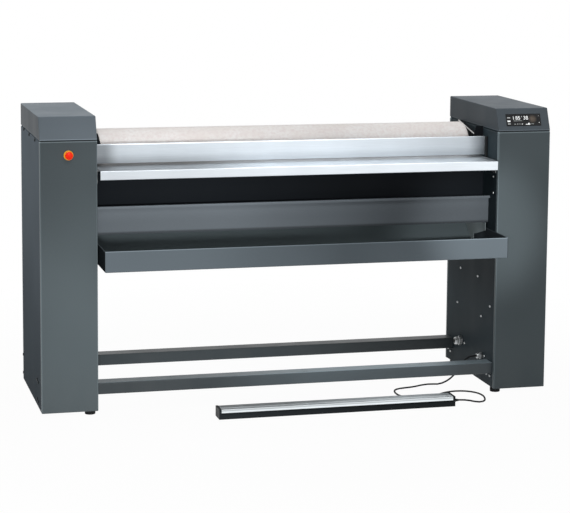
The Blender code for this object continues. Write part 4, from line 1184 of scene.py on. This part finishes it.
print("end guides")
guide = {
    "plateInside": 0.694,
    "wall": 0.0016,
    # depth behind the column front and height, along the top edge from front to rear
    "edge": [(0.200, 0.908), (0.385, 0.9435)],
    "foot": 0.889,
    "overlap": 0.0002,  # of the plate with its flange, and the strip's rise above them
    "stripLip": 0.0022,  # of the pale strip on the edge, past the plate
    "stripDepth": 0.0024,
    # A black plate beside each end of the cloth, which stands in for the shade in the gap there
    "shadePlateInside": 0.681,
    "shadePlateSpread": 0.023,  # how much further in the shield reaches at its foot
    "shadePlateDepth": 0.160,
    "shadePlateLow": 0.860,
    "shadePlateHigh": 0.944,
    # Black strips in the gap beside the guard's end and in the seam under each head, which stand in for the
    # shade there
    "gapShadeDepth": 0.013,  # of the black strip beside the guard's end
    "gapShadeRound": 0.0006,
    "seamShadeInset": 0.0012,
    "gap": 0.0004,
    "soft": 0.0003,
}


def alongEdge(side, section):
    # The two ends of a bar along the guide's top edge, from a section of (x, drop)
    return [[(side * x, frontY + depth, z - drop) for x, drop in section] for depth, z in guide["edge"]]


def makeEndGuide(side):
    (frontDepth, frontTop), (rearDepth, rearTop) = guide["edge"]
    foot, near = guide["foot"], guide["plateInside"]
    outline = [(frontDepth, foot), (frontDepth, frontTop), (rearDepth, rearTop), (rearDepth, foot)]
    far, wall = near + guide["wall"], guide["wall"]
    work = bmesh.new()
    slabInto(work, *([(side * x, frontY + depth, z) for depth, z in outline] for x in (near, far)))
    start, end = far - guide["overlap"], innerX - guide["gap"]
    slabInto(work, *alongEdge(side, [(start, 0.0), (end, 0.0), (end, wall), (start, wall)]))
    addPlate(sideName(side) + "EndGuide", work, "blackPaint", guide["soft"])
    lip, top, low = near - guide["stripLip"], -guide["overlap"], guide["stripDepth"]
    work = bmesh.new()
    slabInto(work, *alongEdge(side, [(lip, top), (lip, low), (far, low), (far, top)]))
    addPlate(sideName(side) + "EndGuideEdge", work, "paleEdge")


# A black plate that stands in for the shade in the gap beside the cloth's end
def makeEndShadePlate(side):
    low, high = guide["shadePlateLow"], guide["shadePlateHigh"]
    top, wallX = guide["shadePlateInside"], innerX - guide["gap"]
    outline = [(wallX, low), (top - guide["shadePlateSpread"], low), (top, high), (wallX, high)]
    depth = frontY + guide["shadePlateDepth"]
    work = bmesh.new()
    slabInto(work, *([(side * x, y, z) for x, z in outline] for y in (depth, depth + guide["wall"])))
    addPlate(sideName(side) + "EndShadePlate", work, "blackPaint", guide["soft"])


def makeShadeStrip(name, side, low, high, corner, segments):
    # A black rubber strip from low to high, given for the right side, which stands in for the shade in a gap
    work = bmesh.new()
    blockInto(work, (side * low[0], *low[1:]), (side * high[0], *high[1:]), corner, segments)
    bmesh.ops.recalc_face_normals(work, faces=work.faces)
    addPiece(name, meshOf(work, name), "blackRubber", smooth=40.0)


def makeShadeStrips(side):
    gap, inset = guide["gap"], guide["seamShadeInset"]
    guardLow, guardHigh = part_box("finger_guard")
    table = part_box("feed_table")[1]
    # A black strip in the gap beside the guard's end, standing in for its shade
    low = (table.x + gap, guardLow.y - guide["gapShadeDepth"], table.z + gap)
    high = (innerX - gap, guardLow.y - gap, guardHigh.z)
    makeShadeStrip(sideName(side) + "EndGapShade", side, low, high, guide["gapShadeRound"], 2)
    # A black strip in the seam under the head, standing in for the seam's shade
    low = (innerX + inset, frontY + inset, panelHigh.z + gap)
    high = (outerX - inset, frontY + inset + guide["wall"], headLow.z - gap)
    makeShadeStrip(sideName(side) + "SeamShade", side, low, high, 0.0, 1)


for side in sides:
    makeEndGuide(side)
    makeEndShadePlate(side)
    makeShadeStrips(side)


# Plates that close the ends of the return chute behind the apron

print("chute ends")
chuteEnd = {
    "outside": 0.7000,  # the outer face, from the middle
    "wall": 0.0015,
    "gap": 0.0004,
    "soft": 0.0003,
    "top": 0.640,
    "frontLow": 0.5755,  # height of the lower edge at the apron
    "rearLow": 0.548,  # and above the tray's open back
    "level": 0.013,  # length of its level part there
    "rearDepth": 0.213,  # behind the column front
    "floorLift": 0.002,
    "chuteTurn": 0.232,  # where the chute turns up, behind the column front
    "chuteLip": 0.0013,  # from the chute's rearmost edge to its face at the top
    "chuteDrop": 0.0003,  # of the turn under the tray
}


def makeChuteEnds():
    chuteHigh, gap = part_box("return_chute")[1], chuteEnd["gap"]
    turnY, turnZ = frontY + chuteEnd["chuteTurn"], trayLow.z - chuteEnd["chuteDrop"]
    slant = (chuteHigh.y - chuteEnd["chuteLip"] - turnY) / (chuteHigh.z - turnZ)
    front, rear = apronHigh.y + gap, frontY + chuteEnd["rearDepth"]
    top, rearLow, floor = chuteEnd["top"], chuteEnd["rearLow"], trayLow.z + chuteEnd["floorLift"]
    onChute = [(turnY + (z - turnZ) * slant - 2 * gap, z) for z in (floor, top)]
    outline = [
        (front, top), (front, chuteEnd["frontLow"]), (rear - chuteEnd["level"], rearLow), (rear, rearLow),
        (rear, floor), *onChute,
    ]
    faces = (chuteEnd["outside"] - chuteEnd["wall"], chuteEnd["outside"])
    for side in sides:
        work = bmesh.new()
        slabInto(work, *([(side * x, y, z) for y, z in outline] for x in faces))
        addPlate(sideName(side) + "ChuteEnd", work, "endPaint", chuteEnd["soft"])


makeChuteEnds()


# Screw heads by one geometry tree

print("screws")
headDefaults = {
    "Head radius": 0.004,
    "Head height": 0.002,
    "Socket share": 0.5,  # of the head's width
    "Socket depth": 0.0012,
}
domeShare = 0.84  # of the radius at the top of a head
socketDepthShare = 0.6  # of the head's height


def screwTree():
    tree = bpy.data.node_groups.new("screwHeads", "GeometryNodeTree")
    plug = tree.interface
    plug.new_socket("Geometry", in_out="INPUT", socket_type="NodeSocketGeometry")
    for name, value in headDefaults.items():
        plug.new_socket(name, in_out="INPUT", socket_type="NodeSocketFloat").default_value = value
    plug.new_socket("Sides", in_out="INPUT", socket_type="NodeSocketInt").default_value = 16
    plug.new_socket("Finish", in_out="INPUT", socket_type="NodeSocketMaterial")
    plug.new_socket("Geometry", in_out="OUTPUT", socket_type="NodeSocketGeometry")
    graph = Graph(tree)
    given = tree.nodes.new("NodeGroupInput")
    wires = {socket.name: Wire(graph, socket) for socket in given.outputs if socket.name}
    lift = graph.add("ShaderNodeCombineXYZ", None, {"Z": wires["Head height"] * 0.5})
    mesh = graph.add("GeometryNodeMeshCylinder", None, {
        "Vertices": wires["Sides"], "Radius": wires["Head radius"], "Depth": wires["Head height"]}, "Mesh")
    top = graph.beside(mesh, "Top")
    raised = graph.add("GeometryNodeTransform", None, {"Geometry": mesh, "Translation": lift})
    domed = graph.add("GeometryNodeScaleElements", None, {
        "Geometry": raised, "Selection": top, "Scale": domeShare})
    rim = graph.add("GeometryNodeExtrudeMesh", {"mode": "FACES"}, {
        "Mesh": domed, "Selection": top, "Offset Scale": 0.0}, "Mesh")
    rimTop = graph.beside(rim, "Top")
    inset = graph.add("GeometryNodeScaleElements", None, {
        "Geometry": rim, "Selection": rimTop, "Scale": wires["Socket share"]})
    sunk = graph.add("GeometryNodeExtrudeMesh", {"mode": "FACES"}, {
        "Mesh": inset, "Selection": rimTop, "Offset Scale": wires["Socket depth"] * -1.0})
    facing = graph.add("GeometryNodeInputNamedAttribute", {"data_type": "FLOAT_VECTOR"}, {"Name": "outward"})
    turn = graph.add("FunctionNodeAlignRotationToVector", {"axis": "Z"}, {"Vector": facing})
    copies = graph.add("GeometryNodeInstanceOnPoints", None, {
        "Points": wires["Geometry"], "Instance": sunk, "Rotation": turn})
    real = graph.add("GeometryNodeRealizeInstances", None, {0: copies})
    dressed = graph.add("GeometryNodeSetMaterial", None, {"Geometry": real, "Material": wires["Finish"]})
    tree.links.new(dressed.socket, tree.nodes.new("NodeGroupOutput").inputs[0])
    return tree


screwHeads = screwTree()


def addScrews(name, spots, finish, radius, height, share=0.5, count=16):
    # spots: (place, direction that the head faces)
    seeds = bpy.data.meshes.new(name + ".spots")
    seeds.from_pydata([place for place, _ in spots], [], [])
    outward = seeds.attributes.new("outward", "FLOAT_VECTOR", "POINT")
    for item, (_, direction) in zip(outward.data, spots):
        item.vector = direction
    holder = bpy.data.objects.new(name + ".spots", seeds)
    bpy.context.scene.collection.objects.link(holder)
    step = holder.modifiers.new("heads", "NODES")
    step.node_group = screwHeads
    values = {
        "Head radius": radius, "Head height": height, "Socket share": share,
        "Socket depth": height * socketDepthShare, "Sides": count, "Finish": finishes[finish],
    }
    for item in screwHeads.interface.items_tree:
        if item.in_out == "INPUT" and item.name in values:
            step[item.identifier] = values[item.name]
    graph = bpy.context.evaluated_depsgraph_get()
    mesh = bpy.data.meshes.new_from_object(holder.evaluated_get(graph))
    bpy.data.objects.remove(holder, do_unlink=True)
    mesh.name = name
    addPiece(name, mesh, finish)


screws = {
    # y and height of each, read from the photograph
    "innerWall": [
        (0.172, 0.392), (-0.013, 0.394), (0.200, 0.257), (-0.144, 0.308), (-0.055, 0.255),
        (0.116, 0.119), (-0.095, 0.116), (0.295, 0.062), (0.271, 0.055), (-0.123, 0.058),
        (-0.155, 0.058), (-0.151, 0.776), (-0.153, 0.718), (-0.137, 0.569), (0.190, 0.914),
    ],
    "outerWall": [
        (0.227, 0.935), (0.076, 0.933), (-0.082, 0.932), (0.305, 0.113), (0.306, 0.047),
        (-0.086, 0.113), (-0.119, 0.110), (-0.085, 0.045), (-0.118, 0.043),
    ],
    "sink": 0.0002,  # of each head's foot into its wall
    # heights on the columns' rear covers, which no photo shows
    "rearHeights": (0.06, 0.34, 0.62, 0.90, 0.975),
    "rearInset": 0.022,
    "rearSink": 0.0025,
    "coverPlaces": (-0.66, -0.33, 0.0, 0.33, 0.66),
    "coverInset": 0.018,
    "coverSink": 0.0022,
    "rivetPlaces": (-0.45, -0.44, 0.02, 0.03, 0.45, 0.46),
    "rivetSpread": 0.012,
    "rivetSink": 0.0004,
}
# finish, radius and height, then the share of the socket and the sides
heads = {
    "inner": ("zincSteel", 0.0045, 0.0028),
    "outer": ("blackPlastic", 0.0055, 0.0038),
    "rear": ("zincSteel", 0.0042, 0.0024),
    "cover": ("zincSteel", 0.0042, 0.0022),
    "rivet": ("blackPaint", 0.0028, 0.0004, 0.6, 12),
}


def makeColumnScrews(side):
    name, sink, inset = sideName(side), screws["sink"], screws["rearInset"]
    spots = [((side * (innerX - sink), y, z), (-side, 0, 0)) for y, z in screws["innerWall"]]
    addScrews(name + "InnerScrews", spots, *heads["inner"])
    spots = [((side * (outerX - sink), y, z), (side, 0, 0)) for y, z in screws["outerWall"]]
    addScrews(name + "OuterScrews", spots, *heads["outer"])
    y, columns = rearY - screws["rearSink"], (innerX + inset, outerX - inset)
    spots = [((side * x, y, z), (0, 1, 0)) for x in columns for z in screws["rearHeights"]]
    addScrews(name + "RearScrews", spots, *heads["rear"])


def makeCoverScrews():
    low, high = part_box("rear_cover")
    heights, y = (low.z + screws["coverInset"], high.z - screws["coverInset"]), high.y - screws["coverSink"]
    spots = [((x, y, z), (0, 1, 0)) for x in screws["coverPlaces"] for z in heights]
    addScrews("rearCoverScrews", spots, *heads["cover"])


def makeRivets(bar):
    low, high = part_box(bar)
    middle, z, spread = (low.y + high.y) / 2, high.z - screws["rivetSink"], screws["rivetSpread"]
    depths = (middle - spread, middle + spread)
    spots = [((x, y, z), (0, 0, 1)) for x in screws["rivetPlaces"] for y in depths]
    addScrews(bar + "Rivets", spots, *heads["rivet"])


for side in sides:
    makeColumnScrews(side)
makeCoverScrews()
for bar in ("front_crossbar", "rear_crossbar"):
    makeRivets(bar)


# The frame's own solids: the round ones as merged copies, the flat ones with their finishes

print("frame finishes")
roundNodes = {
    "zincSteel": [
        *both("trough_pivot"), *both("trough_arm"), *both("lift_cam"), "lift_shaft", "motor_pulley",
    ],
    "castGrey": both("roller_bearing"),
    "pressSteel": ["heated_trough"],
    "blackPaint": ["trough_casing"],
    "heaterSheath": ["front_trough_heater", "rear_trough_heater"],
    "blackRubber": ["drive_belt"],
    "motorEnamel": ["roller_gearmotor", "lift_gearmotor"],
}
for finish, names in roundNodes.items():
    for node in names:
        smoothCopy(node, finish)

flatNodes = {
    "charcoalPaint": [*both("front_panel"), *both("rear_panel")],
    "headPaint": both("head_cover"),
    "trayPaint": ["laundry_tray"],
    "barPaint": ["front_crossbar"],
    "sidePaint": both("outer_panel"),
    "innerPaint": both("side_frame"),
    "blackPaint": ["recess_panel"],
    "darkPaint": ["rear_crossbar", "rear_cover"],
    "chutePaint": ["return_chute"],
    "zincSteel": both("table_bracket"),
    "blackPlastic": ["stop_switch", "display_module", "switchgear_box", "foot_bar_base"],
    "displayGlass": ["display_glass"],
}
for finish, names in flatNodes.items():
    for node in names:
        for slot in nodes[node].material_slots:
            slot.material = finishes[finish]


# Floor, backdrop and lamps

print("studio")
studio = {
    "floorSize": 60.0,
    "floorColour": (0.50, 0.50, 0.50),
    "floorLit": 0.97,  # share of the floor's own white that the camera sees near the object
    "fade": (1.1, 2.2),  # metres from the middle over which the floor becomes plain white
    "ambient": 0.38,
    # name, place, aim, size, power, seen in gloss
    "panels": [
        ("keyLamp", (-0.4, -3.6, 4.2), (0, 0, 0.6), (2.4, 2.4), 64, True),
        ("frontLamp", (-1.6, -6.0, 1.0), (-0.2, 0, 0.5), (2.6, 1.2), 50, False),
        ("topLamp", (0.2, 0.6, 4.6), (0.0, 0, 0.6), (3.4, 2.0), 62, True),
        ("sideLamp", (-1.6, 0.2, 1.0), (-0.9, 0, 0.9), (0.5, 0.5), 3.2, False),
        ("trayLamp", (0.0, -0.09, 0.535), (0.0, 0.10, 0.560), (1.34, 0.03), 0.52, False),
    ],
    # name, place, aim, reach of the beam from its aim, power
    "spots": [
        ("wideSpot", (-1.6, -6.0, 1.0), (-0.45, 0, 0.33), 0.85, 1250),
        ("endSpot", (0.3, -4.5, 1.2), (0.65, -0.25, 0.60), 0.29, 760),
    ],
}


def directRays(graph):
    # 1 where the camera, a gloss or clear glass sees the surface, and 0 where it only gives light
    ray = graph.tree.nodes.new("ShaderNodeLightPath")
    kinds = ("Is Camera Ray", "Is Glossy Ray", "Is Transmission Ray")
    seen, gloss, clear = (Wire(graph, ray.outputs[kind]) for kind in kinds)
    either = graph.add("ShaderNodeMath", {"operation": "MAXIMUM"}, {0: seen, 1: gloss})
    return graph.add("ShaderNodeMath", {"operation": "MAXIMUM"}, {0: either, 1: clear})


def makeFloor():
    half = studio["floorSize"] / 2
    corners = [(-half, -half, 0), (half, -half, 0), (half, half, 0), (-half, half, 0)]
    mesh = bpy.data.meshes.new("floor")
    mesh.from_pydata(corners, [], [(0, 1, 2, 3)])
    floor = bpy.data.objects.new("floor", mesh)
    bpy.context.scene.collection.objects.link(floor)
    finish = Finish("paleFloor", {
        "Base Color": (*studio["floorColour"], 1.0), "Roughness": 0.9, "Specular IOR Level": 0.1})
    far = finish.add("ShaderNodeVectorMath", {"operation": "LENGTH"}, {0: finish.place}, "Value")
    share = directRays(finish) * finish.spread(far, *studio["fade"], studio["floorLit"], 1.0)
    white = finish.add("ShaderNodeEmission", None, {"Color": (1, 1, 1, 1), "Strength": 1.0})
    lit = Wire(finish, finish.shader.outputs[0])
    mixed = finish.add("ShaderNodeMixShader", None, {0: share, 1: lit, 2: white})
    finish.tree.links.new(mixed.socket, finish.tree.nodes["Material Output"].inputs["Surface"])
    mesh.materials.append(finish.material)


def makeWorld():
    world = bpy.data.worlds.new("studio")
    world.use_nodes = True
    graph = Graph(world.node_tree)
    strength = studio["ambient"] + directRays(graph) * (1.0 - studio["ambient"])
    sky = graph.tree.nodes["Background"]
    sky.inputs["Color"].default_value = (1, 1, 1, 1)
    graph.tree.links.new(strength.socket, sky.inputs["Strength"])
    bpy.context.scene.world = world


def placeLamp(lamp, place, aim, glossy):
    holder = bpy.data.objects.new(lamp.name, lamp)
    holder.location = place
    holder.rotation_euler = (Vector(aim) - Vector(place)).to_track_quat("-Z", "Y").to_euler()
    holder.visible_glossy = glossy
    holder.visible_camera = False
    bpy.context.scene.collection.objects.link(holder)


def makeLamps():
    for name, place, aim, size, power, glossy in studio["panels"]:
        lamp = bpy.data.lights.new(name, "AREA")
        lamp.shape = "RECTANGLE"
        lamp.size, lamp.size_y = size
        lamp.energy = power
        placeLamp(lamp, place, aim, glossy)
    # Soft round beams that fade to nothing at their reach
    for name, place, aim, reach, power in studio["spots"]:
        lamp = bpy.data.lights.new(name, "SPOT")
        lamp.spot_size = 2 * math.atan(reach / (Vector(aim) - Vector(place)).length)
        lamp.spot_blend = 1.0
        lamp.shadow_soft_size = reach / 5
        lamp.energy = power
        placeLamp(lamp, place, aim, False)


makeFloor()
makeWorld()
makeLamps()
